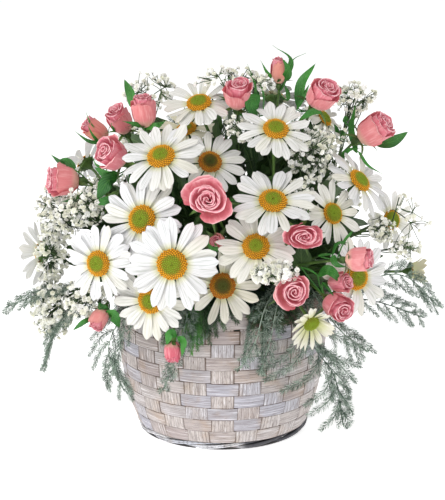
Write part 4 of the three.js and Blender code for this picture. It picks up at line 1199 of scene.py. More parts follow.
class Daisy:
    """One daisy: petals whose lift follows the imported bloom, and a disc of florets."""

    STATIONS = np.array([0, 0.12, 0.26, 0.42, 0.58, 0.7, 0.8, 0.88, 0.94, 0.98, 1])[:, None]
    ACROSS = 7
    ROUNDING = 0.66  # where the petal's tip starts to round off

    def __init__(
        self, bloom: DaisyPlace, shape: DaisyShape, node: bpy.types.Object, seed: int
    ) -> None:
        """Places the daisy and reads how its petals lie.

        Args:
            bloom: its place.
            shape: its shares.
            node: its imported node.
            seed: what its random numbers start from.
        """
        self.bloom = bloom
        self.shape = shape
        self.random = np.random.default_rng(seed)
        self.origin = place(bloom.at)
        self.basis = facing_frame(bloom.facing)
        self.disc_radius = bloom.span * shape.disc
        self.closed = bloom.cup > shape.closed_cup
        self.bud = bloom.span < shape.small_span
        self.profiles = self.read_profiles(CadMesh(node))

    def read_profiles(self, cad: CadMesh) -> np.ndarray:
        """How far out and how high each packed petal's middle and tip are.

        Args:
            cad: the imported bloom.

        Returns:
            For each petal, rows (out, height) of its root, widest place and tip.
        """
        x, y, high = ((cad.points - self.origin) @ self.basis.T).T
        outside = np.hypot(x, y) > self.disc_radius * 1.12
        count = self.bloom.petals
        profiles = []
        for turn in around(count):
            out, side = turned(x, y, turn)
            mine = (np.abs(np.arctan2(side, out)) < math.pi / count * 0.96) & outside
            spots = np.stack([out[mine], high[mine]], -1)[np.argsort(out[mine])]
            root = [self.disc_radius, -self.shape.ring / 2]
            tip = spots[-2:].mean(axis=0)
            middle = spots[:-2].mean(axis=0) if len(spots) > 2 else (tip + root) / 2
            profiles.append([root, middle, tip])
        return np.array(profiles)

    def profile_at(self, turn: float) -> np.ndarray:
        """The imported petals' profile at an angle.

        Args:
            turn: the angle.

        Returns:
            A blend of the nearest two petals' profiles.
        """
        count = self.bloom.petals
        step = (turn / (2 * math.pi) * count) % count
        low = int(step)
        share = float(smooth(step - low, 0.15, 0.85))
        return self.profiles[low] * (1 - share) + self.profiles[(low + 1) % count] * share

    def build(self) -> tuple[Surface, Surface]:
        """Makes the daisy.

        Returns:
            The petals and the disc.
        """
        petals = Surface()
        more = self.shape.half_open if self.closed else self.shape.extra_petals
        count = round(self.bloom.petals * more)
        for i in range(count):
            turn = 2 * math.pi * (i + self.random.uniform(-0.3, 0.3)) / count
            self.petal(petals, turn, i % 2 == 0)
        return petals, self.disc()

    def petal(self, surface: Surface, turn: float, upper: bool) -> None:
        """Adds one petal.

        Args:
            surface: what it is added to.
            turn: its angle.
            upper: whether it is in the upper layer.
        """
        rng, span, m = self.random, self.bloom.span, self.shape.widest
        profile = self.profile_at(turn)
        length = rng.uniform(0.87, 1.0) * (0.98 if upper else 1.04)
        length *= 1.75 if self.bud else 1.12 if self.closed else 1
        profile[1:] = profile[0] + (profile[1:] - profile[0]) * length
        root = self.disc_radius * (1.5 if self.bud else 0.78)
        profile[0] = [root, -self.shape.ring * (0.15 if upper else 0.6)]
        layer = 0.55 if upper else -0.8
        t = self.STATIONS
        v = np.linspace(-1, 1, self.ACROSS)
        teeth = 0.02 * np.cos(3 * np.pi * v) * rng.uniform(0.2, 1.2)
        used = t * (1 - (0.07 * v**2 - teeth) * t**4)
        weights = (
            (used - m) * (used - 1) / m,
            used * (used - 1) / (m * (m - 1)),
            used * (used - m) / (1 - m),
        )
        out, high = (sum(w * knot for w, knot in zip(weights, knots)) for knots in profile.T)
        droop = rng.normal(0, 0.028) * span * used**2
        high = high + layer * np.sin(np.pi * np.clip(used, 0, 1)) + layer * 0.5 * used + droop
        width = span * self.shape.petal_share * rng.uniform(0.8, 1.06)
        width *= 1.25 if self.bud else 0.8 if self.closed else 1
        swell = 0.38 + 0.62 * np.sin(np.pi / 2 * np.clip(t / self.ROUNDING, 0, 1))
        past = np.clip(t - self.ROUNDING, 0, 1) / 0.355
        tip = np.sqrt(np.clip(1 - past**2.7, 0, 1))
        half = width / 2 * np.where(t < self.ROUNDING, swell, tip)
        grooves = np.exp(-(((np.abs(v) - 0.36) / 0.17) ** 2))
        high = high + half * (0.34 * (1 - t) ** 2 - 0.24 * t) * v**2
        high = high - 0.42 * grooves * np.sin(np.pi * np.clip(t, 0, 1)) ** 0.7
        twist = math.radians(rng.normal(0, 13)) * t
        curve = rng.normal(0, 0.02) * span * t**2
        side = half * v * np.cos(twist) + curve
        high = high + half * v * np.sin(twist)
        local = np.stack([*turned(out, side, -turn), high], -1)
        surface.sheet(self.to_world(local), t, v, rng.random())

    def to_world(self, local: np.ndarray) -> np.ndarray:
        """Points of the bloom's own frame in the part's frame."""
        return self.origin + local @ self.basis

    def disc_height(self, rho: np.ndarray | float) -> np.ndarray | float:
        """How high the disc stands at a share of its radius."""
        dome = self.shape.disc_rise * (1 - rho**2) ** 0.7
        return self.disc_radius * (dome - self.shape.dimple * np.exp(-((rho / 0.32) ** 2)))

    def disc(self) -> Surface:
        """Makes the disc.

        Returns:
            A dome of small florets laid out on a sunflower spiral.
        """
        surface = Surface()
        rho = np.linspace(0, 0.985, 6)[:, None]
        base = round_points(self.disc_radius * rho, around(20), self.disc_height(rho) - 0.5)
        surface.sheet(self.to_world(base), rho, 0, 0, wrap=True)
        total = round(self.shape.florets * (0.6 if self.bloom.span < 50 else 1))
        for k in range(total):
            share = math.sqrt((k + 0.5) / total) * 0.97
            size = self.disc_radius / math.sqrt(total) * (0.72 + 0.2 * share)
            self.floret(surface, share, k * GOLDEN_ANGLE, size)
        return surface

    def floret(self, surface: Surface, rho: float, angle: float, size: float) -> None:
        """Adds one floret: a small five-sided bud with a rounded top.

        Args:
            surface: what it is added to.
            rho: how far out it stands, as a share of the disc's radius.
            angle: where it stands round the disc.
            size: its radius.
        """
        rng = self.random
        spot = np.array([rho * math.cos(angle), rho * math.sin(angle), 0])
        middle = spot * self.disc_radius
        middle[2] = self.disc_height(rho) - 0.4
        lean = unit(spot * 0.9 + UPWARD)
        across = unit(np.cross(lean, [0.0, 1.0, 0.0]))
        over = np.cross(lean, across)
        turn = around(5)[:, None] + rng.uniform(0, 6)
        ring = (across * np.cos(turn) + over * np.sin(turn)) * size
        rise = lean * size * rng.uniform(1.1, 1.7)
        points = np.vstack([middle + ring, middle + ring * 0.85 + rise * 0.7, middle + rise])
        top = [[5 + i, 5 + (i + 1) % 5, 10] for i in range(5)]
        marks = np.full((11, 3), rho)
        marks[:, 1] = np.repeat([0.1, 0.6, 1], [5, 5, 1])
        marks[:, 2] = rng.random()
        triangles = np.vstack([grid_triangles(2, 5, wrap=True), top])
        surface.add(self.to_world(points), triangles, marks)


# Roses


@dataclass(frozen=True)
class RosePetalForm:
    """One petal of a rose: where its rim lies, and how far it wraps, swells and rolls."""

    turn: float
    rim: float
    top: float
    wrap: float
    belly: float
    roll: float
    spread: float
    shift: np.ndarray


class Rose:
    """One rose: a tight spiral in the middle, and broad overlapping petals outside it."""

    ALONG = 13
    ACROSS = 15

    def __init__(self, bloom: RosePlace, seed: int) -> None:
        """Places the rose.

        Args:
            bloom: its place.
            seed: what its random numbers start from.
        """
        self.bloom = bloom
        self.random = np.random.default_rng(seed)
        self.origin = place(bloom.at)
        self.basis = facing_frame(bloom.facing)
        self.radius = bloom.width / 2
        self.lobes = self.random.uniform(0, 2 * math.pi, 2)

    def forms(self) -> list[RosePetalForm]:
        """Lays out the petals.

        Returns:
            Their forms, from the middle outward.
        """
        rng, radius = self.random, self.radius
        height, is_open = self.bloom.height, self.bloom.open
        closed = 1 - is_open
        inner = round(4 + 3.6 * self.bloom.turns * (0.5 + 0.5 * is_open))
        outer = round(4 + 2 * is_open)
        start = rng.uniform(0, 2 * math.pi)
        core = 0.46 + 0.12 * closed
        widest = 0.78 + 0.14 * is_open
        forms = []
        for k in range(inner):
            share = (k + 0.7) / inner
            rim = core * share**0.8 * rng.uniform(0.94, 1.06)
            top = height * (0.98 - 0.08 * share * closed - 0.06 * is_open * (1 - share))
            forms.append(
                RosePetalForm(
                    turn=start + k * GOLDEN_ANGLE + rng.uniform(-0.25, 0.25),
                    rim=radius * rim,
                    top=top * rng.uniform(0.97, 1.0),
                    wrap=math.radians(rng.uniform(84, 112) - 26 * share),
                    belly=radius * rim * (1.12 - 0.1 * is_open),
                    roll=0.045 + 0.04 * share,
                    spread=0.45 * share,
                    shift=rng.normal(0, 0.045, 2) * radius * (0.4 + share),
                )
            )
        start += inner * GOLDEN_ANGLE
        for k in range(outer):
            share = (k + 1) / outer
            rim = core + (widest - core) * share**0.9
            top = height * ((0.95 - 0.18 * share) * closed + (0.94 - 0.2 * share) * is_open)
            belly = (1.24 - 0.12 * share) * closed + (0.86 - 0.22 * share) * is_open
            forms.append(
                RosePetalForm(
                    turn=start + k * math.radians(144 + rng.uniform(-14, 14)),
                    rim=radius * rim * rng.uniform(0.96, 1.04),
                    top=top * rng.uniform(0.94, 1.03),
                    wrap=math.radians(rng.uniform(62, 80)),
                    belly=radius * rim * belly,
                    roll=(0.04 + 0.07 * is_open * share) * rng.uniform(0.6, 1.4),
                    spread=0.45 + 0.55 * share,
                    shift=rng.normal(0, 0.04, 2) * radius,
                )
            )
        return forms

    def build(self) -> Surface:
        """Makes the rose.

        Returns:
            Its petals.
        """
        surface = Surface()
        for form in self.forms():
            self.petal(surface, form)
        return surface

    def profile(self, form: RosePetalForm, t: np.ndarray) -> tuple[np.ndarray, np.ndarray]:
        """A petal's radius and height along its middle.

        Args:
            form: the petal.
            t: the way along from the base, 0 to 1.

        Returns:
            Radii and heights.
        """
        height, reach = self.bloom.height, form.roll * self.radius
        knots = np.array(
            [
                (0, 0.06 * self.radius, 0.02 * height),
                (0.1, 0.5 * form.belly, 0.06 * height),
                (0.26, 0.88 * form.belly, 0.22 * height),
                (0.48, form.belly, 0.46 * form.top),
                (0.72, 0.5 * (form.belly + form.rim), 0.76 * form.top),
                (0.88, form.rim - 0.2 * reach, 0.97 * form.top),
                (0.95, form.rim + 0.45 * reach, form.top),
                (1.0, form.rim + 0.9 * reach, form.top - 0.8 * reach),
            ]
        )
        fine = np.linspace(0, 1, 61)
        kernel = np.array([1, 3, 5, 3, 1]) / 13
        found = []
        for values in knots.T[1:]:
            line = np.interp(fine, knots[:, 0], values)
            line[2:-2] = np.convolve(line, kernel, "valid")
            found.append(np.interp(t, fine, line))
        return found[0], found[1]

    def petal(self, surface: Surface, form: RosePetalForm) -> None:
        """Adds one petal.

        Args:
            surface: what it is added to.
            form: the petal.
        """
        rng, bloom = self.random, self.bloom
        t = np.linspace(0, 1, self.ALONG)[:, None] ** 0.85
        v = np.linspace(-1, 1, self.ACROSS)
        outer = smooth(form.spread, 0.4, 0.9)
        reach = 1 - (0.1 + 0.16 * outer) * np.abs(v) ** 2.6
        radius, high = self.profile(form, t * reach)
        point = (0.02 + 0.05 * outer) * np.exp(-((v / 0.16) ** 2)) * t**5 * bloom.height
        ruffle = np.sin(2.2 * np.pi * v + rng.uniform(0, 6))
        ruffle = ruffle + 0.6 * np.sin(5.3 * np.pi * v + rng.uniform(0, 6))
        flare = 0.05 * outer * (0.3 + bloom.open) * np.abs(v) ** 3 * t**3
        wide = 0.024 * ruffle * t**4 * (0.4 + outer) + 0.05 * v * (0.5 + 0.5 * t) + flare
        radius = radius + self.radius * wide
        high = high + point + 0.018 * bloom.height * np.sin(3.1 * v + rng.uniform(0, 6)) * t**3
        narrow = 0.5 + 0.5 * np.sin(np.pi * np.clip(0.06 + 0.6 * t, 0, 1))
        angle = form.turn + form.wrap * v * narrow
        lobes = 0.05 * np.cos(2 * angle - self.lobes[0]) + 0.035 * np.cos(3 * angle - self.lobes[1])
        local = round_points(radius * (1 + lobes), angle, high)
        local[..., :2] += form.shift * t[..., None]
        local[..., 1] *= bloom.oval
        surface.sheet(self.origin + local @ self.basis, t * reach, v, form.spread)


# Stems

FOAM_TOP = 128.0
FOAM_DEPTH = 55.0
MAIN_RADIUS = 2.6
CALYX_LENGTH = 6.0
HIP_STEPS = np.array([-1.6, -1.2, -0.5, 0.1, 0.6])[:, None]


def main_stem(surface: Surface, fork: np.ndarray, count: int, sides: int) -> None:
    """Adds a plant's main stem, from deep in the foam to its fork.

    Args:
        surface: what it is added to.
        fork: where its stems part.
        count: points along it.
        sides: points round it.
    """
    foot = np.array([fork[0], fork[1], FOAM_TOP - FOAM_DEPTH])
    surface.tube(curve_through(np.array([foot, fork]), count), MAIN_RADIUS, sides, 0.5)


class StemSpray:
    """The stems of one spray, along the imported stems, with a calyx behind each bloom."""

    FORK_LENGTH = 9.0

    def __init__(self, spray: SprayPlace, cad: CadMesh, seed: int) -> None:
        """Keeps the spray's place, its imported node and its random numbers."""
        self.spray = spray
        self.cad = cad
        self.random = np.random.default_rng(seed)

    def build(self) -> Surface:
        """Makes the stems.

        Returns:
            The main stem, and each bloom's stem and calyx.
        """
        surface = Surface()
        fork = place(self.spray.fork)
        main_stem(surface, fork, 6, 10)
        blooms = self.spray.blooms()
        for i, bloom in enumerate(blooms):
            self.stem(surface, bloom, fork - UPWARD * self.FORK_LENGTH * i / len(blooms))
        return surface

    def stem(self, surface: Surface, bloom: DaisyPlace | RosePlace, joint: np.ndarray) -> None:
        """Adds one bloom's stem and what joins it to the bloom.

        Args:
            surface: what it is added to.
            bloom: the bloom.
            joint: where the stem leaves the main stem.
        """
        basis = facing_frame(bloom.facing)
        is_rose = isinstance(bloom, RosePlace)
        back = 0.3 if is_rose else 2.5 + bloom.span * 0.16 * 0.3
        seat = place(bloom.at) - basis[2] * back
        calyx = seat - basis[2] * CALYX_LENGTH
        line = self.cad.middle_line(calyx, joint, 3.2)
        middle = [
            spot
            for spot in line
            if np.linalg.norm(spot - calyx) > 6 and np.linalg.norm(spot - joint) > 8
        ]
        # The cane's near-black colour paints shade along and beside each strand of the foot.
        count = max(10, int(np.linalg.norm(joint - seat) / 7))
        path = curve_through(np.array([seat, calyx, *middle, joint]), count)
        radii = (1.15 if is_rose else 1.25) * np.linspace(0.95, 1.2, count)
        surface.tube(path, radii, 7, self.random.random(), tip=False)
        if is_rose:
            size = max(2.4, bloom.width * 0.13)
            swelling = np.array([0.5, 0.8, 1.0, 0.95, 0.6]) * size
            surface.tube(seat + HIP_STEPS * size * basis[2], swelling, 10, self.random.random())
            self.sepals(surface, bloom, seat, basis)
        else:
            # The cords' dark material paints shade in and under the foot's twist.
            self.involucre(surface, bloom, basis)

    def sepals(
        self, surface: Surface, bloom: RosePlace, seat: np.ndarray, basis: np.ndarray
    ) -> None:
        """Adds five narrow sepals that lie along the bloom or hang back.

        Args:
            surface: what they are added to.
            bloom: the rose.
            seat: where its stem ends.
            basis: its directions right, up and face.
        """
        rng = self.random
        step = (bloom.width * 0.5 + 5) / 6
        t = np.linspace(0, 1, 7)[:, None]
        v = np.array([-1, 0, 1.0])
        half = 2.1 * np.sin(np.pi * np.clip(0.22 + 0.78 * t, 0, 1)) ** 1.2 * (1 - 0.55 * t)
        for k in range(5):
            turn = 2 * math.pi * (k + rng.uniform(-0.15, 0.15)) / 5
            lift = math.radians((58 - 60 * bloom.open) + rng.uniform(-18, 18))
            out, side = turned(basis[0], basis[1], turn)
            bend = lift - t * math.radians(40 + 30 * rng.random())
            along, high = (
                np.cumsum(part * step, axis=0) - part[0] * step
                for part in (np.cos(bend), np.sin(bend))
            )
            middle = seat + out * (2.0 + along) + basis[2] * (0.5 + high)
            points = middle[:, None] + (half * v)[..., None] * side
            points += (np.abs(v) * 0.35 * half)[..., None] * basis[2]
            surface.sheet(points, t, v, rng.random())

    def involucre(self, surface: Surface, bloom: DaisyPlace, basis: np.ndarray) -> None:
        """Adds the scaly green cup behind a daisy.

        Args:
            surface: what it is added to.
            bloom: the daisy.
            basis: its directions right, up and face.
        """
        disc = bloom.span * (0.3 if bloom.span < DaisyShape.small_span else 0.16)
        turn = around(24)
        scales = np.cos(12 * turn)
        profile = np.array([[0.86, -1.2], [0.84, -2.3], [0.6, -3.2], [0.32, -4.6], [0.16, -7.5]])
        radius = profile[:, :1] * disc * (1 + 0.09 * scales)
        radius[-1] = 1.5
        height = profile[:, 1:] - np.array([[0, 0, 0.1, 0.2, 0.3]]).T * disc * 0.3
        points = place(bloom.at) + round_points(radius, turn, height) @ basis
        share = np.linspace(0, 1, len(profile))[:, None]
        surface.sheet(points, share, scales, self.random.random(), wrap=True)


# Leaves


class LeafKind(Enum):
    """Outlines of the leaves in the bouquet."""

    ROSE = "rose"
    DAISY = "daisy"
    PLAIN = "plain"
    SEPAL = "sepal"


def leaf_half_width(kind: LeafKind, t: np.ndarray) -> np.ndarray:
    """Half the width of a leaf that is one wide.

    Args:
        kind: its outline.
        t: shares of its length.

    Returns:
        Half the width at each share.
    """
    body = np.sin(np.pi * np.clip(t, 0, 1) ** 0.72) ** 0.85
    if kind is LeafKind.ROSE:
        return 0.5 * body * (1 + 0.13 * ((t * 9) % 1 - 0.5))
    if kind is LeafKind.DAISY:
        lobes = 0.66 + 0.34 * np.abs(np.cos(np.pi * (t * 3.1 + 0.1))) ** 0.8
        return 0.5 * np.maximum(body * lobes, 0.06 * (1 - t))
    if kind is LeafKind.SEPAL:
        return 0.5 * np.sin(np.pi * np.clip(0.12 + 0.88 * t, 0, 1) ** 0.62) ** 1.25
    return 0.5 * body


def add_leaf(
    surface: Surface, line: np.ndarray, up: np.ndarray, width: float, kind: LeafKind, seed: float
) -> None:
    """Adds a leaf blade, folded up a little along its middle vein.

    Args:
        surface: what it is added to.
        line: points along the middle vein.
        up: the way its upper side looks.
        width: its greatest width.
        kind: its outline.
        seed: its mark's seed.
    """
    along, side, normal = (way[:, None] for way in blade_frame(line, up))
    t = np.linspace(0, 1, len(line))[:, None]
    v = np.array([-1, -0.55, 0, 0.55, 1.0])
    half = leaf_half_width(kind, t) * width
    ripple = 0.05 * width * np.sin(9 * t + 5 * seed) * v**2
    rise = half * (0.32 * np.abs(v) - 0.18 * v**2) + ripple * np.sin(np.pi * t)
    points = line[:, None] + (half * v)[..., None] * side + rise[..., None] * normal
    points += (np.abs(v) * half * 0.25)[..., None] * along
    surface.sheet(points, t, v, seed)


class BloomSpace:
    """The space that the blooms fill, and the space in front of their faces."""

    def __init__(self) -> None:
        """Lists the blooms' spaces."""
        sizes = [(bloom, bloom.span / 2, -7.0, 8.0) for bloom in DAISIES]
        sizes += [(rose, rose.width / 2, -2.0, rose.height + 2) for rose in ROSES]
        self.discs = [
            (place(bloom.at), facing_frame(bloom.facing), *size) for bloom, *size in sizes
        ]

    def is_clear(self, points: np.ndarray, margin: float, view: float) -> bool:
        """Whether points keep off the blooms.

        Args:
            points: the points.
            margin: how far they stay from petals.
            view: how far in front of each bloom's face they stay out of the way.

        Returns:
            True when none of them is in the way.
        """
        for origin, basis, reach, low, high in self.discs:
            x, y, z = ((points - origin) @ basis.T).T
            wide = np.hypot(x, y)
            hit = (wide < reach + margin) & (z > low - margin) & (z < high + margin)
            shade = (wide < reach * 0.9) & (z > 0) & (z < view)
            if hit.any() or shade.any():
                return False
        return True


@dataclass(frozen=True)
class LeafPlace:
    """A leaf in the part's source: its spray, root, tip, width and outline."""

    spray: str
    root: Spot
    tip: Spot
    width: float
    kind: LeafKind = LeafKind.DAISY


LEAVES = (
    LeafPlace("rose_stems_left", (-84, 44, 214), (-100, 52, 192), 19, LeafKind.ROSE),
    LeafPlace("rose_stems_right", (78, 88, 150), (88, 98, 166), 10, LeafKind.ROSE),
    LeafPlace("rose_stems_right", (30, -40, 200), (40, -74, 234), 28, LeafKind.ROSE),
    LeafPlace("daisy_stems_back", (4, -60, 172), (2, -96, 200), 30),
    LeafPlace("daisy_stems_back", (-60, -66, 152), (-104, -92, 156), 30),
    LeafPlace("daisy_stems_back", (60, -66, 156), (104, -92, 160), 30),
    LeafPlace("daisy_stems_right", (66, -14, 190), (104, -42, 206), 28),
    LeafPlace("daisy_stems_right", (84, 4, 160), (126, -14, 166), 28),
    LeafPlace("daisy_stems_left", (-70, -16, 190), (-108, -34, 200), 28),
    LeafPlace("daisy_stems_left", (-84, -10, 152), (-126, -26, 156), 28),
)


class PackedLeaves:
    """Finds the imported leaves' curves and dresses them."""

    LIFTS = (0.12, 0.25, 0, 0.4, -0.12, 0.6)
    SWINGS = (0, 0.2, -0.2, 0.4, -0.4, 0.7, -0.7)
    RIB = 0.7
    MOST_MISFIT = 1.5
    POINTS = 24  # along a leaf
    COLLAR_TURNS = (88, 112, 136, 160, 184, 232)

    def __init__(self) -> None:
        """Starts the random numbers."""
        self.random = np.random.default_rng(11)

    def curves(self, root: np.ndarray, tip: np.ndarray) -> tuple[np.ndarray, list[np.ndarray]]:
        """Every curve that the source may have chosen for a leaf.

        Args:
            root: where the leaf starts.
            tip: where it ends.

        Returns:
            The way its upper side looks, and the knots of each curve.
        """
        way = tip - root
        reach = float(np.linalg.norm(way))
        sideways = unit(np.array([-way[1], way[0], 0.0])) * reach
        up = np.array([0, -1.0, 0]) if abs(way[2]) > 0.8 * reach else UPWARD
        found = []
        for lift in self.LIFTS:
            for swing in self.SWINGS:
                crown = (root + tip + sideways * swing) / 2 + UPWARD * reach * lift
                found.append(np.array([root, crown, tip + sideways * swing]))
        return up, found

    @staticmethod
    def at(knots: np.ndarray, t: np.ndarray) -> np.ndarray:
        """Points of the curve at shares of the way."""
        t = t[:, None]
        return knots[0] * (1 - t) ** 2 + 2 * knots[1] * t * (1 - t) + knots[2] * t**2

    def misfit(self, cad: CadMesh, knots: np.ndarray, up: np.ndarray) -> float:
        """How far a curve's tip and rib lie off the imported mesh.

        Args:
            cad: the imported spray.
            knots: the curve's knots.
            up: the way the leaf's upper side looks.

        Returns:
            The sum of the distances.
        """
        spots = self.at(knots, np.array([1.0, 0.3, 0.42, 0.66]))
        normals = blade_frame(self.at(knots, np.linspace(0, 1, 21)), up)[2]
        spots[1:] += normals[[6, 8, 13]] * self.RIB
        return sum(cad.nearest(spot)[1] for spot in spots)

    def wanted(self, spray: str) -> list[tuple[np.ndarray, np.ndarray, float, LeafKind]]:
        """Lists the leaves that a spray may have.

        Args:
            spray: the spray's name.

        Returns:
            Root, tip, width and outline of its own leaves and of the collar's.
        """
        rows = [
            (place(leaf.root), place(leaf.tip), leaf.width, leaf.kind)
            for leaf in LEAVES
            if leaf.spray == spray
        ]
        for degrees in self.COLLAR_TURNS:
            out = outward(math.radians(degrees), 0)
            root, tip = out * 56 + UPWARD * 138, out * 112 + UPWARD * 128
            rows.append((root, tip, 27, LeafKind.DAISY))
        return rows

    def build(self, spray: str, cad: CadMesh, surface: Surface) -> int:
        """Adds a spray's leaves to its surface.

        Args:
            spray: the spray's name.
            cad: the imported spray.
            surface: what they are added to.

        Returns:
            How many there are.
        """
        count = 0
        for root, tip, width, kind in self.wanted(spray):
            up, curves = self.curves(root, tip)
            misfits = [self.misfit(cad, knots, up) for knots in curves]
            if min(misfits) > self.MOST_MISFIT:
                continue
            line = self.at(curves[int(np.argmin(misfits))], np.linspace(0, 1, self.POINTS))
            add_leaf(surface, line, up, width, kind, self.random.random())
            surface.tube(line, np.linspace(0.8, 0.25, self.POINTS), 5, 0.4)
            count += 1
        return count


@dataclass(frozen=True)
class BudLeaf:
    """A sepal or leaf beside a rose, given by the rose's number."""

    rose: int
    root: Spot
    middle: Spot
    tip: Spot
    width: float
    kind: LeafKind = LeafKind.SEPAL


BUD_LEAVES = tuple(
    BudLeaf(*row)
    for row in (
        (9, (50, 14, 299), (56, 5, 315), (41, 4, 327), 5.5),
        (9, (51, 18, 300), (53, 22, 309), (48, 20, 319), 7.5),
        (9, (48, 15, 298), (38, 15, 304), (31, 14, 316), 4.0),
        (9, (53, 16, 302), (57, 16, 316), (68, 15, 322), 1.5),
        (9, (54, 14, 283), (53, 15, 290), (50, 15, 298), 5.0),
        (7, (61, 30, 279), (64, 31, 299), (75, 28, 315), 10, LeafKind.PLAIN),
        (7, (60, 32, 278), (65, 34, 288), (70, 33, 299), 4, LeafKind.PLAIN),
        (7, (80, 36, 276), (72, 42, 278), (60, 44, 270), 5.5, LeafKind.PLAIN),
        (6, (111, 18, 240), (106, 19, 259), (109, 16, 280), 6, LeafKind.PLAIN),
        (6, (95, 18, 233), (104, 21, 243), (114, 20, 244), 4.5),
        (6, (126, 14, 246), (140, 15, 249), (153, 14, 257), 9.5, LeafKind.PLAIN),
        (6, (112, 26, 242), (119, 30, 232), (132, 28, 224), 2.6),
        (6, (108, 6, 257), (103, 10, 263), (101, 10, 270), 9, LeafKind.PLAIN),
        (6, (103, 4, 250), (98, 10, 254), (92, 10, 263), 10, LeafKind.PLAIN),
        (8, (28, 30, 279), (27, 32, 296), (20, 30, 315), 5),
        (8, (26, 36, 283), (26, 38, 300), (19, 36, 311), 2.6),
        (8, (30, 40, 291), (23, 47, 285), (28, 46, 273), 12, LeafKind.PLAIN),
        (8, (33, 30, 273), (33, 33, 288), (30, 32, 302), 4.5, LeafKind.PLAIN),
        (10, (-73, 38, 280), (-74, 36, 291), (-79, 34, 303), 8, LeafKind.PLAIN),
        (10, (-63, 48, 267), (-70, 54, 270), (-80, 52, 272), 4.5),
        (10, (-61, 48, 267), (-53, 52, 268), (-45, 48, 272), 6.5),
        (12, (-103, 10, 255), (-109, 12, 264), (-113, 8, 273), 2.2),
        (12, (-101, 10, 247), (-111, 12, 249), (-123, 8, 257), 3.2),
        (12, (-102, 14, 248), (-107, 20, 256), (-111, 18, 264), 2.6),
        (11, (-86, 26, 259), (-89, 32, 263), (-91, 30, 269), 2.6),
        (14, (-122, 42, 232), (-131, 44, 237), (-140, 38, 243), 5.0),
        (14, (-120, 44, 231), (-126, 46, 239), (-133, 44, 239), 7),
        (14, (-117, 44, 209), (-123, 50, 207), (-131, 50, 206), 4.5),
        (13, (-83, 56, 230), (-92, 62, 230), (-102, 60, 236), 9, LeafKind.ROSE),
        (13, (-84, 56, 227), (-92, 66, 225), (-100, 66, 211), 12, LeafKind.ROSE),
        (13, (-78, 66, 204), (-91, 70, 211), (-102, 66, 207), 10, LeafKind.ROSE),
        (13, (-94, 60, 235), (-100, 62, 238), (-104, 60, 244), 2.4),
        (15, (-92, 74, 120), (-96, 80, 124), (-100, 76, 128), 8, LeafKind.ROSE),
        (15, (-95, 76, 117), (-88, 82, 120), (-83, 80, 108), 9, LeafKind.ROSE),
        (15, (-105, 74, 115), (-112, 80, 113), (-121, 76, 105), 4.5, LeafKind.ROSE),
        (16, (-36, 106, 109), (-41, 111, 113), (-44, 112, 104), 7, LeafKind.ROSE),
        (16, (-36, 106, 109), (-31, 111, 106), (-32, 110, 94), 6, LeafKind.ROSE),
        (4, (75, 98, 157), (83, 106, 163), (94, 104, 152), 9, LeafKind.PLAIN),
        (4, (62, 92, 162), (69, 98, 161), (77, 100, 156), 1.8, LeafKind.PLAIN),
        (4, (79, 98, 151), (83, 106, 148), (89, 108, 140), 3.0),
        (5, (86, 104, 176), (90, 110, 186), (98, 110, 186), 5.5),
        (5, (86, 106, 175), (88, 113, 170), (97, 112, 167), 5.5),
        (5, (75, 98, 173), (81, 103, 175), (87, 105, 176), 2.2, LeafKind.PLAIN),
        (5, (102, 92, 191), (97, 98, 187), (91, 98, 179), 3, LeafKind.PLAIN),
        (17, (-5, 92, 176), (-10, 96, 180), (-13, 96, 188), 4),
        (17, (-3, 94, 176), (2, 100, 181), (3, 98, 189), 4),
        (17, (-4, 96, 176), (-5, 103, 182), (-7, 102, 186), 4),
        (1, (-26, 60, 229), (-29, 66, 219), (-35, 68, 207), 10, LeafKind.PLAIN),
        (1, (32, 60, 213), (27, 70, 207), (19, 74, 201), 10, LeafKind.PLAIN),
    )
)


class BudLeaves:
    """Sepals and leaves beside the roses, each on a stalk from its rose's stem."""

    STALK = 0.55

    def __init__(self) -> None:
        """Starts the random numbers."""
        self.random = np.random.default_rng(31)

    def build(self) -> Surface:
        """Makes the leaves.

        Returns:
            The leaves and their stalks.
        """
        surface = Surface()
        for leaf in BUD_LEAVES:
            rose = ROSES[leaf.rose - 1]
            face = facing_frame(rose.facing)[2]
            joint = place(rose.at) - face * CALYX_LENGTH
            spots = np.array([place(spot) for spot in (leaf.root, leaf.middle, leaf.tip)])
            line = curve_through(spots, 16)
            way = unit(spots[1] - (joint + place(rose.at)) / 2)
            up = unit(way + np.array([0, -0.9, 0.35]) + self.random.normal(0, 0.15, 3))
            add_leaf(surface, line, up, leaf.width, leaf.kind, self.random.random())
            surface.tube(line, np.linspace(0.45, 0.15, 16), 5, 0.4)
            bend = (joint + spots[0]) / 2 - face * 2
            surface.tube(curve_through(np.array([joint, bend, spots[0]]), 8), self.STALK, 6, 0.3)
        return surface


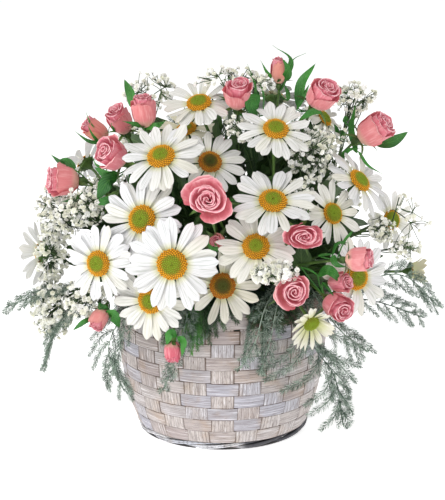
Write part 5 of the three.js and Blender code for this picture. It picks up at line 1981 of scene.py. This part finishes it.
class Undergrowth:
    """Leaves between the stems, which close the gaps behind the blooms.

    A layer is how many leaves it has, and its least and greatest share of the way out.
    """

    LAYERS = ((420, 0.5, 0.82), (150, 0.15, 0.5))
    HEART = UPWARD * 140
    REACH, FRONT, BACK, RISE = 128, 104, 92, 134
    RIM_TOP, RIM_REACH = 131, 84
    MARGIN, VIEW = 1.5, 34

    def __init__(self, space: BloomSpace) -> None:
        """Keeps the space that the leaves stay out of."""
        self.space = space
        self.random = np.random.default_rng(21)

    def build(self) -> Surface:
        """Makes the leaves.

        Returns:
            An outer layer, and some deeper in that stop the view through.
        """
        surface = Surface()
        for wanted, near, far in self.LAYERS:
            placed = 0
            for _ in range(wanted * 6):
                placed += self.leaf(surface, near, far)
                if placed == wanted:
                    break
        return surface

    def leaf(self, surface: Surface, near: float, far: float) -> bool:
        """Adds a leaf at a random place, if it keeps off the rim and the blooms.

        Args:
            surface: what it is added to.
            near: the least share of the way out.
            far: the greatest share of the way out.

        Returns:
            Whether it was added.
        """
        rng = self.random
        turn = rng.uniform(0, 2 * math.pi)
        out = outward(turn, math.asin(rng.uniform(-0.05, 0.98)))
        depth = rng.uniform(near, far)
        size = np.array([self.REACH, self.FRONT if out[1] < 0 else self.BACK, self.RISE])
        root = self.HEART + out * size * depth
        way = unit(out + rng.normal(0, 0.45, 3) + UPWARD * 0.15)
        length = rng.uniform(24, 42)
        tip = root + way * length
        sag = (root + tip) / 2 + UPWARD * length * rng.uniform(0.0, 0.16)
        line = curve_through(np.array([root, sag, tip]), 10)
        wide, low = np.hypot(*line[:, :2].T).max(), line[:, 2].min()
        if low < self.RIM_TOP and wide > self.RIM_REACH:
            return False
        if not self.space.is_clear(line[2:], self.MARGIN, self.VIEW):
            return False
        up = unit(np.cross(way, rng.normal(0, 1, 3)))
        kind = LeafKind.DAISY if rng.random() < 0.6 else LeafKind.ROSE
        add_leaf(surface, line, up, length * rng.uniform(0.42, 0.6), kind, rng.random())
        return True


# Fern


@dataclass(frozen=True)
class Frond:
    """A fern frond in the part's source: three or four points, and its width.

    Its boughs are side branches with places of their own: how far along the rib one starts,
    and its tip.
    """

    path: tuple[Spot, ...]
    width: float
    boughs: tuple[tuple[float, Spot], ...] = ()
    full: float = 1.0


@dataclass(frozen=True)
class FernPlace:
    """The fronds that rise from one fork."""

    name: str
    fork: Spot
    fronds: tuple[Frond, ...]


LONG_FROND_BOUGHS = (
    (0.42, (29, 88, 73)),
    (0.48, (34, 90, 67)),
    (0.6, (48, 88, 57)),
    (0.4, (116, 84, 91)),
    (0.5, (108, 84, 64)),
    (0.65, (104, 80, 48)),
    (0.7, (67, 88, 45)),
    (0.77, (70, 86, 36)),
    (0.8, (106, 78, 34)),
    (0.86, (80, 82, 22)),
    (0.55, (112, 80, 76)),
    (0.9, (104, 78, 24)),
)
FERNS = (
    FernPlace(
        "fern_right",
        (62, 30, 138),
        (
            Frond(
                ((66, 84, 131), (72, 96, 100), (90, 90, 71), (99, 82, 24)),
                38,
                LONG_FROND_BOUGHS,
                0.5,
            ),
            Frond(((76, 70, 131), (94, 84, 108), (118, 82, 88)), 26),
            Frond(((44, 88, 131), (38, 99, 104), (30, 97, 74)), 20, full=0.6),
            Frond(((100, 46, 136), (147, 45, 143), (180, 40, 114)), 26),
            Frond(((88, 58, 132), (130, 62, 124), (166, 58, 110)), 24),
            Frond(((34, 90, 128), (26, 103, 104), (14, 100, 80)), 14),
        ),
    ),
    FernPlace(
        "fern_left",
        (-62, 8, 140),
        (
            Frond(((-100, 26, 136), (-150, 40, 126), (-182, 34, 112)), 22),
            Frond(((-92, 40, 133), (-134, 46, 104), (-150, 42, 62)), 24),
            Frond(((-72, 66, 132), (-92, 82, 92), (-80, 80, 54)), 24, full=1.6),
            Frond(((-28, 90, 128), (-36, 101, 96), (-48, 98, 60)), 20, full=0.8),
        ),
    ),
    FernPlace(
        "fern_back",
        (4, -64, 140),
        (
            Frond(((-54, -80, 134), (-84, -96, 106), (-92, -96, 66)), 28),
            Frond(((58, -78, 134), (88, -92, 108), (100, -96, 70)), 28),
            Frond(((6, -96, 136), (4, -128, 122), (2, -140, 92)), 24),
            Frond(((-20, -68, 176), (-30, -80, 214), (-40, -92, 254)), 44),
            Frond(((40, -66, 184), (58, -80, 222), (66, -92, 258)), 44),
        ),
    ),
)


class Plumosa:
    """Side branches of plumosa fern, like small feathers with rows of needles.

    A row of needles leans so much sideways and so much up.
    """

    NEEDLE_STEP = 0.75
    NEEDLE_HALF = 0.2
    ROWS = ((1, 0.15), (-1, 0.15), (0.55, 0.75), (-0.55, 0.75), (0.6, -0.6), (-0.6, -0.6))

    def __init__(self, seed: int) -> None:
        """Starts the random numbers."""
        self.random = np.random.default_rng(seed)

    def bough(self, surface: Surface, knots: np.ndarray, up: np.ndarray, wide: float) -> None:
        """Adds a side branch with rows of needles that point forward.

        Args:
            surface: what it is added to.
            knots: points from the rib to the tip.
            up: the way its upper side looks.
            wide: the length of its longest needles.
        """
        rng = self.random
        count = max(8, int(way_length(knots) / self.NEEDLE_STEP))
        line = curve_through(knots, count)
        twig = line[::3]
        surface.tube(twig, np.linspace(0.42, 0.15, len(twig)), 3, rng.random(), tip=False)
        along, sides, over = blade_frame(line, up)
        envelope = 0.4 + 0.6 * np.sin(np.pi * (0.14 + 0.8 * np.linspace(0, 1, count)[:, None]))
        for sign, rise in self.ROWS:
            way = along * 0.9 + sides * sign + over * (rise + rng.normal(0, 0.25, (count, 1)))
            way = unit(way + rng.normal(0, 0.12, (count, 3)))
            size = wide * envelope * rng.uniform(0.7, 1.12, (count, 1))
            self.needles(surface, line, way * size)

    def needles(self, surface: Surface, roots: np.ndarray, needles: np.ndarray) -> None:
        """Adds one flat needle at each root.

        Args:
            surface: what they are added to.
            roots: where they start.
            needles: the way from each root to its tip.
        """
        rng = self.random
        count = len(roots)
        wide = unit(np.cross(needles, rng.normal(0, 1, (count, 3)))) * self.NEEDLE_HALF
        middle = roots + needles * 0.5
        points = np.stack([roots, middle + wide, roots + needles, middle - wide], 1)
        base = np.arange(count)[:, None] * 4
        marks = np.zeros(points.shape)
        marks[..., 0] = [0, 0.5, 1, 0.5]
        marks[..., 2] = rng.random(count)[:, None]
        surface.add(points, np.concatenate([base + [0, 1, 2], base + [0, 2, 3]]), marks)


class Fern(Plumosa):
    """The fronds of one plant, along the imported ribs."""

    BARE = 0.3  # the share of a rib without boughs of its own
    BOUGH_STEP = 4.6
    SWEEP = 0.85
    POINTS = 60  # along a rib

    def __init__(self, plant: FernPlace, cad: CadMesh, seed: int) -> None:
        """Keeps the plant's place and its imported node."""
        super().__init__(seed)
        self.plant = plant
        self.cad = cad

    def build(self) -> Surface:
        """Makes the fern.

        Returns:
            The main stem and the fronds.
        """
        surface = Surface()
        fork = place(self.plant.fork)
        main_stem(surface, fork, 4, 8)
        for frond in self.plant.fronds:
            self.frond(surface, fork, frond)
        return surface

    def frond(self, surface: Surface, fork: np.ndarray, frond: Frond) -> None:
        """Adds one frond along its packed rib.

        Args:
            surface: what it is added to.
            fork: where its rib starts.
            frond: the frond.
        """
        rng = self.random
        points = [place(spot) for spot in frond.path]
        line = self.cad.middle_line(points[-1], fork, 2.0)[::-1]
        line = curve_through(np.vstack([fork, line[1:-1], points[-1]]), self.POINTS)
        surface.tube(line, np.linspace(0.9, 0.3, self.POINTS), 6, rng.random())
        up = unit(np.array([points[1][0], points[1][1], 40.0]))
        along, sides, _ = blade_frame(line, up)
        last = self.POINTS - 1
        for share, tip in frond.boughs:
            row = int(share * last)
            end = place(tip)
            reach = float(np.linalg.norm(end - line[row]))
            over = (line[row] + end) / 2 + (along[row] * 0.1 + up * 0.12) * reach
            self.bough(surface, np.array([line[row], over, end]), up, 7.6)
        count = int(way_length(line) * (1 - self.BARE) / self.BOUGH_STEP)
        for k in range(count):
            share = (k + rng.uniform(0.2, 0.8)) / count
            row = min(last - 1, int((self.BARE + (1 - self.BARE) * share) * last))
            sign = 1 if k % 2 else -1
            envelope = math.sin(math.pi * (0.16 + 0.76 * share)) ** 0.8
            reach = frond.width / 2 * envelope * rng.uniform(0.9, 1.3) * 1.15 * frond.full
            way = unit(sign * sides[row] + along[row] * self.SWEEP * rng.uniform(0.8, 1.25))
            way = unit(way + up * rng.uniform(-0.15, 0.2))
            end = way + along[row] * 0.3 - UPWARD * 0.2
            ends = [line[row], line[row] + way * reach * 0.55, line[row] + end * reach]
            self.bough(surface, np.array(ends), up, 4.0 + 2.2 * envelope)
        self.bough(surface, line[-14:][::6], up, 3.2)


class RimSprays(Plumosa):
    """Short sprigs of fern from the foam, which lie over the rim under the front blooms.

    A sprig is its first and last turn round the basket in degrees, and the height of its tip.
    """

    FRESH = ((-14, -20, 97), (-13, -15, 90), (-12, -10, 99), (-12, -17, 103), (-13, -12, 94))
    # The dark sprigs take a darker copy of the fern green, which paints the shade under the front
    # blooms.
    DARK = (
        (-6, -17, 119), (-6, -21, 113), (-6, -15, 109), (-6, -9, 106), (-5, -3, 106), (-4, 1, 112),
        (-9, -16, 102), (-8, -6, 100), (2, 7, 117), (21, 12, 121), (21, 14, 111), (22, 21, 106),
        (23, 28, 107), (24, 33, 112), (24, 36, 121), (22, 18, 116), (26, 19, 108), (27, 31, 106),
        (30, 38, 108), (-20, -28, 112), (-22, -33, 104), (-24, -30, 96), (36, 42, 108),
        (-2, -11, 116),
    )  # fmt: skip
    TWIGS = ((17, 10, 84), (24, 19, 84), (-3, -8, 104))

    def sprigs(self, rows: tuple[Spot, ...], wide: float) -> Surface:
        """Makes the sprigs of one table.

        Args:
            rows: the table.
            wide: the length of the longest needles.

        Returns:
            The sprigs.
        """
        surface = Surface()
        for start, end, tip in rows:
            turn = np.radians([start, start, start + (end - start) * 0.4, end])
            height = [FOAM_TOP - 3, 128, max(tip, 124), tip]
            knots = round_points(np.array([30, 84, 93, 96]), turn - math.pi / 2, height)
            line = curve_through(knots, 40)
            surface.tube(line, np.linspace(0.7, 0.2, 40), 5, self.random.random())
            up = unit(np.array([knots[-1][0], knots[-1][1], 30.0]))
            self.bough(surface, line[18::3], up, wide)
        return surface


# Baby's breath


@dataclass(frozen=True)
class Cluster:
    """A cloud of florets: its middle, half its size each way and how many there are.

    Packed says that its stem is in the solids, and over that it may stand before blooms.
    """

    at: Spot
    size: Spot
    florets: int
    packed: bool = True
    over: bool = False


@dataclass(frozen=True)
class BreathPlace:
    """The clouds of florets on one main stem."""

    name: str
    fork: Spot
    clusters: tuple[Cluster, ...]


BREATH = (
    BreathPlace(
        "breath_left",
        (-58, -12, 140),
        (
            Cluster((-134, 22, 190), (22, 20, 26), 276),
            Cluster((-146, 22, 155), (18, 20, 26), 276),
            Cluster((-142, 34, 112), (18, 18, 28), 330),
            Cluster((-60, -10, 286), (26, 22, 18), 70),
            Cluster((-112, 56, 204), (20, 20, 18), 161, False),
            Cluster((-112, 66, 128), (20, 18, 18), 138, False),
            Cluster((-76, 92, 172), (12, 10, 14), 55, False),
        ),
    ),
    BreathPlace(
        "breath_right",
        (66, -8, 140),
        (
            Cluster((70, 48, 245), (24, 18, 24), 170),
            Cluster((148, 44, 188), (22, 18, 28), 35),
            Cluster((108, -10, 280), (22, 18, 16), 138),
            Cluster((10, 30, 300), (34, 26, 14), 207),
            Cluster((41, 120, 165), (20, 8, 10), 150, True, True),
            Cluster((96, 30, 240), (22, 22, 24), 110, False),
            Cluster((66, 66, 214), (16, 16, 16), 115, False),
            Cluster((18, 60, 268), (16, 16, 14), 115, False),
            Cluster((130, 48, 184), (11, 8, 16), 60, False, True),
            Cluster((150, 48, 166), (15, 9, 10), 50, False, True),
        ),
    ),
    BreathPlace(
        "breath_back",
        (-30, -52, 140),
        (
            Cluster((-104, -70, 186), (22, 20, 26), 207),
            Cluster((0, -112, 158), (28, 16, 20), 207),
            Cluster((104, -72, 190), (24, 20, 26), 207),
            Cluster((10, -76, 262), (26, 18, 16), 184),
            Cluster((-70, -70, 236), (24, 22, 20), 184, False),
            Cluster((80, -60, 240), (24, 22, 20), 161, False),
        ),
    ),
)


class Breath:
    """Baby's breath: thin stalks that fork again and again into small double florets.

    A floret's rings are a number of petals, their reach and their rise. A space is how far
    from the blooms hubs or florets stay, and how far in front of a bloom's face.
    """

    RINGS = ((6, 1.0, 0.35), (5, 0.75, 0.75), (3, 0.4, 1.0))
    POINTS = 24  # along a stem
    HUB_SPACE = (0.5, 12)
    FLORET_SPACE = (1.5, 14)

    def __init__(self, plant: BreathPlace, cad: CadMesh, space: BloomSpace, seed: int) -> None:
        """Places the plant.

        Args:
            plant: its place.
            cad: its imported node.
            space: what its florets stay out of.
            seed: what its random numbers start from.
        """
        self.plant = plant
        self.cad = cad
        self.space = space
        self.random = np.random.default_rng(seed)

    def build(self) -> Surface:
        """Makes the plant.

        Returns:
            The stems, as material 0, and the florets, as material 1.
        """
        surface = Surface()
        fork = place(self.plant.fork)
        main_stem(surface, fork, 4, 8)
        for cluster in self.plant.clusters:
            self.cluster(surface, fork, cluster)
        return surface

    def stem_line(self, fork: np.ndarray, cluster: Cluster) -> np.ndarray:
        """Finds a cluster's stem.

        Args:
            fork: where it starts.
            cluster: the cluster.

        Returns:
            Points from the fork to the stem's top.
        """
        at = place(cluster.at)
        if not cluster.packed:
            over = (fork + at) / 2
            over[:2] *= 0.8
            return curve_through(np.array([fork, over, at]), self.POINTS)
        best = (math.inf, at)
        for share in (0, 0.4, -0.4, 0.8, -0.8):
            for axis in range(3):
                spot = list(cluster.at)
                spot[axis] += cluster.size[axis] * share
                end = place(tuple(spot))
                top = end - unit(end - fork) * 4.3
                distance = self.cad.nearest(top)[1]
                if distance < best[0] - 0.05:
                    best = (distance, top)
        line = self.cad.middle_line(best[1], fork, 2.1)[::-1]
        return curve_through(np.vstack([fork, line[1:]]), self.POINTS)

    def cluster(self, surface: Surface, fork: np.ndarray, cluster: Cluster) -> None:
        """Adds one cloud of florets with its stalks.

        Args:
            surface: what it is added to.
            fork: where its stem starts.
            cluster: the cluster.
        """
        rng = self.random
        line = self.stem_line(fork, cluster)
        surface.tube(line, np.linspace(1.0, 0.45, len(line)), 5, rng.random())
        centre = place(cluster.at)
        size = np.array(cluster.size, float)
        hubs = []
        for _ in range(max(4, cluster.florets // 7)):
            root = line[rng.integers(len(line) * 2 // 3, len(line))]
            hub = centre + unit(rng.normal(0, 1, 3)) * size * rng.uniform(0.2, 0.62)
            if cluster.over or self.space.is_clear(hub[None], *self.HUB_SPACE):
                hubs.append(hub)
                self.stalk(surface, root, hub, 0.5)
        hubs = np.array(hubs or [line[-1]])
        for _ in range(cluster.florets):
            spot = centre + unit(rng.normal(0, 1, 3)) * size * rng.uniform(0.3, 1.0) ** 0.6 * 0.97
            if cluster.over or self.space.is_clear(spot[None], *self.FLORET_SPACE):
                hub = hubs[np.argmin(np.linalg.norm(hubs - spot, axis=1))]
                self.stalk(surface, hub, spot, 0.33)
                self.floret(surface, spot, unit(spot - hub), rng.uniform(1.7, 3.0))

    def stalk(self, surface: Surface, start: np.ndarray, end: np.ndarray, thick: float) -> None:
        """Adds a thin stalk with a slight bow.

        Args:
            surface: what it is added to.
            start: where it starts.
            end: where it ends.
            thick: its radius.
        """
        bow = self.random.normal(0, 0.07, 3) * np.linalg.norm(end - start)
        line = curve_through(np.array([start, (start + end) / 2 + bow, end]), 4)
        surface.tube(line, thick, 3, self.random.random(), tip=False)

    def floret(self, surface: Surface, spot: np.ndarray, way: np.ndarray, size: float) -> None:
        """Adds one double floret: rings of petals round a tuft.

        Args:
            surface: what it is added to.
            spot: its middle.
            way: the way that its stalk points.
            size: its radius.
        """
        rng = self.random
        way = unit(way + rng.normal(0, 0.5, 3))
        across = unit(np.cross(way, rng.normal(0, 1, 3)))
        over = np.cross(way, across)
        points = []
        for count, reach, rise in self.RINGS:
            for k in range(count):
                turn = 2 * math.pi * (k + rng.uniform(-0.2, 0.2)) / count
                out, side = turned(across, over, turn)
                tip = spot + (out * reach + way * rise * rng.uniform(0.8, 1.2)) * size
                middle = spot + (out * reach * 0.7 + way * rise * 0.6) * size
                wide = side * 0.5 * size * (0.5 + 0.5 * reach)
                points.append([spot, middle + wide, tip, middle - wide])
        base = np.arange(len(points))[:, None] * 4
        triangles = np.hstack([base + [0, 1, 2], base + [0, 2, 3]]).reshape(-1, 3)
        marks = np.zeros((len(points), 4, 3))
        marks[..., 0] = [0, 0.6, 1, 0.6]
        marks[..., 2] = rng.random()
        surface.add(np.array(points), triangles, marks, finish=1)


# Studio


@dataclass(frozen=True)
class Studio:
    """The camera at the photograph's viewing angle, soft light and a pale floor."""

    distance: float = 1.3
    elevation: float = 14.0
    target_height: float = 0.153
    focal_px: float = 1529.4
    picture_px: float = 500.0
    sensor_mm: float = 36.0
    world_light: float = 0.36
    lights_height: float = 0.15

    def build(self) -> None:
        """Makes the camera, the lights, the world and the floor."""
        self.camera()
        for name, at, size, power, colour in (
            ("key", (-1.0, -1.5, 1.7), 0.7, 19, (1.0, 0.985, 0.96)),
            ("fill", (1.5, -1.2, 0.9), 1.8, 4, (0.95, 0.98, 1.0)),
            ("top", (0.2, 0.5, 2.2), 1.6, 8, (1.0, 1.0, 1.0)),
            ("front", (0.3, -2.3, 0.7), 1.2, 4, (1.0, 1.0, 1.0)),
            ("left_rim", (-1.9, -0.5, 0.6), 1.2, 13, (1.0, 1.0, 1.0)),
            ("right_rim", (1.9, 0.5, 0.7), 1.2, 7, (1.0, 1.0, 1.0)),
        ):
            data = bpy.data.lights.new(name, "AREA")
            data.energy, data.size, data.color = power, size, colour
            self.aim(bpy.data.objects.new(name, data), Vector(at), self.lights_height)
        world = bpy.data.worlds.new("studio")
        world.use_nodes = True
        world.node_tree.nodes["Background"].inputs[0].default_value = (1, 1, 1, 1)
        world.node_tree.nodes["Background"].inputs[1].default_value = self.world_light
        bpy.context.scene.world = world
        bpy.context.scene.view_settings.view_transform = "Standard"
        self.floor()

    def aim(self, thing: bpy.types.Object, at: Vector, height: float) -> None:
        """Puts a light or camera in the scene, facing the part's axis.

        Args:
            thing: what is put there.
            at: where it stands.
            height: the height on the axis that it faces.
        """
        thing.location = at
        thing.rotation_euler = (Vector((0, 0, height)) - at).to_track_quat("-Z", "Y").to_euler()
        bpy.context.scene.collection.objects.link(thing)

    def camera(self) -> None:
        """Makes the camera."""
        data = bpy.data.cameras.new("camera")
        data.sensor_width = self.sensor_mm
        data.lens = self.sensor_mm * self.focal_px / self.picture_px
        camera = bpy.data.objects.new("camera", data)
        rise = math.radians(self.elevation)
        target = Vector((0, 0, self.target_height))
        at = target + self.distance * Vector((0, -math.cos(rise), math.sin(rise)))
        self.aim(camera, at, self.target_height)
        bpy.context.scene.camera = camera

    def floor(self) -> None:
        """Makes the sheet of paper under the basket."""
        surface = Surface()
        line = np.linspace(-9000, 9000, 13)
        x, y = np.meshgrid(line, line)
        surface.sheet(np.stack([x, y, np.full_like(x, -0.05)], -1), 0, 0, 0)
        paper = surface.piece("paper_floor", StudioPaper().build())
        paper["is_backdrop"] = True


class Bouquet:
    """Builds each part of the arrangement and hands its pieces to the frame."""

    def __init__(self, frame: dict) -> None:
        """Makes what several parts share.
        """
        self.nodes = frame["nodes"]
        self.green = Greenery("stem_green", "27441f", "5b8038", "86a05a").build()
        self.bud_green = Greenery("rose_leaf_green", "1b561f", "418f35", "79b35c", 0.42).build()
        # A darker, greyer copy of the leaf green, which paints the shade deep in the bouquet.
        self.shade_green = Greenery("undergrowth_green", "1f3a22", "4a6a38", "6f8a50").build()
        self.space = BloomSpace()

    def hand_over(self, piece: bpy.types.Object, slot: Slot | None, *nodes: str) -> None:
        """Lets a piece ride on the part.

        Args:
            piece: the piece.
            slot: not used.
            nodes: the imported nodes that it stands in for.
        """
        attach(piece, "root")
        if nodes:
            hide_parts(*nodes)
        LOG.info("%s: %d triangles", piece.name, len(piece.data.polygons))

    def basket(self) -> None:
        """Builds the basket and finishes what it holds."""
        basket = Basket(BasketSize())
        splint = WhitewashedSplint().build()
        upright = WhitewashedSplint(
            "whitewashed_stake",
            wash="cac3c1",
            cool="b6b8c6",
            warm="b79f88",
            across_scale=7,
            lines=9.4,
        ).build()
        band = WhitewashedSplint("whitewashed_band", along_scale=30, across_scale=6).build()
        cane = WhitewashedSplint(
            "painted_cane",
            wash="f0f2f8",
            cool="bcc2d0",
            warm="d0c4b6",
            bare_and_shade="34343c",
            along_scale=60,
            across_scale=1.2,
            lines=7.0,
        ).build()
        shade = Powdery("painted_cord_shade", "2b2a2c", "4e4a48", 200, 0.1, 0.8).build()
        weavers = basket.weavers().piece("basket_weavers", splint)
        self.hand_over(weavers, Slot.SPLINT, "basket_wall")
        self.hand_over(basket.stakes().piece("basket_stakes", upright), Slot.SPLINT)
        self.hand_over(basket.rim().piece("basket_rim_band", band), Slot.RIM, "basket_rim")
        foot = basket.foot().piece("basket_foot_twist", cane, shade)
        self.hand_over(foot, Slot.CANE, "basket_foot")
        for name, finish in (
            ("basket_floor", Powdery("floor_splint", "a08c74", "cbb9a0", 60)),
            ("liner", Powdery("liner_plastic", "22382a", "3a5a44", 30, 0.05, 0.4)),
            ("foam", Powdery("wet_foam", "1e3a26", "3c6a48", 400, 0.5)),
        ):
            materials = self.nodes[name].data.materials
            materials.clear()
            materials.append(finish.build())

    def daisies(self) -> None:
        """Builds the daisies."""
        for i, bloom in enumerate(DAISIES):
            daisy = Daisy(bloom, DaisyShape(), self.nodes[bloom.name], 100 + i)
            petals, disc = daisy.build()
            reach = 0.85 if daisy.closed else 0.32
            petal = DaisyPetal(f"petal_{bloom.name}", bloom.cream, reach, bloom.lit).build()
            centre = DaisyDisc(f"disc_{bloom.name}", bloom.age).build()
            self.hand_over(petals.piece(f"{bloom.name}_petals", petal), Slot.DAISY, bloom.name)
            self.hand_over(disc.piece(f"{bloom.name}_disc", centre), None)

    def roses(self) -> None:
        """Builds the roses."""
        for i, bloom in enumerate(ROSES):
            petal = RosePetal(
                f"petal_{bloom.name}",
                bloom.peach,
                bloom.light,
                # a stronger painted glow on open roses, which lifts the shade in their deep middles
                glow=0.08 + 0.08 * bloom.open,
                pink="c9566e" if bloom.name == "rose_16" else RosePetal.pink,
            ).build()
            surface = Rose(bloom, 200 + i).build()
            self.hand_over(surface.piece(f"{bloom.name}_petals", petal), Slot.ROSE, bloom.name)
        pale = RosePetal("petal_upper_bud", UPPER_BUD.peach, UPPER_BUD.light).build()
        upper = Rose(UPPER_BUD, 299).build()
        self.hand_over(upper.piece(f"{UPPER_BUD.name}_petals", pale), Slot.ROSE)

    def stems(self) -> None:
        """Builds the stems and the leaves on them."""
        leaves = PackedLeaves()
        for i, spray in enumerate(SPRAYS):
            cad = CadMesh(self.nodes[spray.name])
            surface = StemSpray(spray, cad, 300 + i).build()
            found = leaves.build(spray.name, cad, surface)
            LOG.info("%s: %d packed leaves", spray.name, found)
            self.hand_over(surface.piece(f"{spray.name}_green", self.green), Slot.STEM, spray.name)
        for name, surface, green in (
            ("rose_bud_upper_stalk", self.upper_stalk(), self.green),
            ("bud_leaves", BudLeaves().build(), self.bud_green),
            ("undergrowth", Undergrowth(self.space).build(), self.shade_green),
        ):
            self.hand_over(surface.piece(name, green), Slot.STEM)

    def upper_stalk(self) -> Surface:
        """Makes what carries the upper bud.

        Returns:
            Its stalk, from the stem of the rose below, and its hip.
        """
        below = BLOOMS["rose_04"]
        start = place(below.at) - facing_frame(below.facing)[2] * CALYX_LENGTH
        face = facing_frame(UPPER_BUD.facing)[2]
        seat = place(UPPER_BUD.at)
        surface = Surface()
        surface.tube(curve_through(np.array([start, seat - face * 8, seat]), 10), 1.0, 7, 0.5)
        swelling = np.array([1.3, 2.1, 2.6, 2.5, 1.6])
        surface.tube(seat + HIP_STEPS * 2.6 * face, swelling, 10, 0.6)
        return surface

    def ferns(self) -> None:
        """Builds the fern."""
        needle = Powdery("plumosa_fern", "2c4636", "b0c2b3", 260, 0.05, 0.85).build()
        for i, plant in enumerate(FERNS):
            surface = Fern(plant, CadMesh(self.nodes[plant.name]), 400 + i).build()
            self.hand_over(surface.piece(f"{plant.name}_fronds", needle), Slot.FERN, plant.name)
        sprays = RimSprays(77)
        for name, rows, wide, dark, pale in (
            # The dark sprigs' colours paint the shade under the front blooms.
            ("dark", sprays.DARK, 6.5, "16301c", "557a4c"),
            ("fresh", sprays.FRESH, 5.5, "2a6e2a", "6cb050"),
            ("twigs", sprays.TWIGS, 3.5, "2f4638", "8fa595"),
        ):
            finish = Powdery(f"fern_{name}", dark, pale, 140, 0.05, 0.85).build()
            self.hand_over(sprays.sprigs(rows, wide).piece(f"rim_fern_{name}", finish), Slot.FERN)

    def breath(self) -> None:
        """Builds the baby's breath."""
        stalk = Powdery("breath_stalk", "22381f", "5f7a4c", 120, 0.05, 0.8).build()
        # The florets glow a little: painted light that lifts the shade where they crowd each other.
        floret = Powdery("breath_floret", "e6e6d4", "ffffff", 300, 0.1, 0.8, 0.06).build()
        for i, plant in enumerate(BREATH):
            surface = Breath(plant, CadMesh(self.nodes[plant.name]), self.space, 500 + i).build()
            cloud = surface.piece(f"{plant.name}_cloud", stalk, floret)
            self.hand_over(cloud, Slot.BREATH, plant.name)


def main() -> tuple[Vector, Vector]:
    """Builds the scene.

    Returns:
        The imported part's lowest and highest corners.
    """
    logging.basicConfig(level=logging.INFO, format="%(message)s")
    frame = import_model()
    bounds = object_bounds()
    Studio().build()
    bouquet = Bouquet(frame)
    bouquet.basket()
    bouquet.daisies()
    bouquet.roses()
    bouquet.stems()
    bouquet.ferns()
    bouquet.breath()
    return bounds


if __name__ == "__main__":
    main()
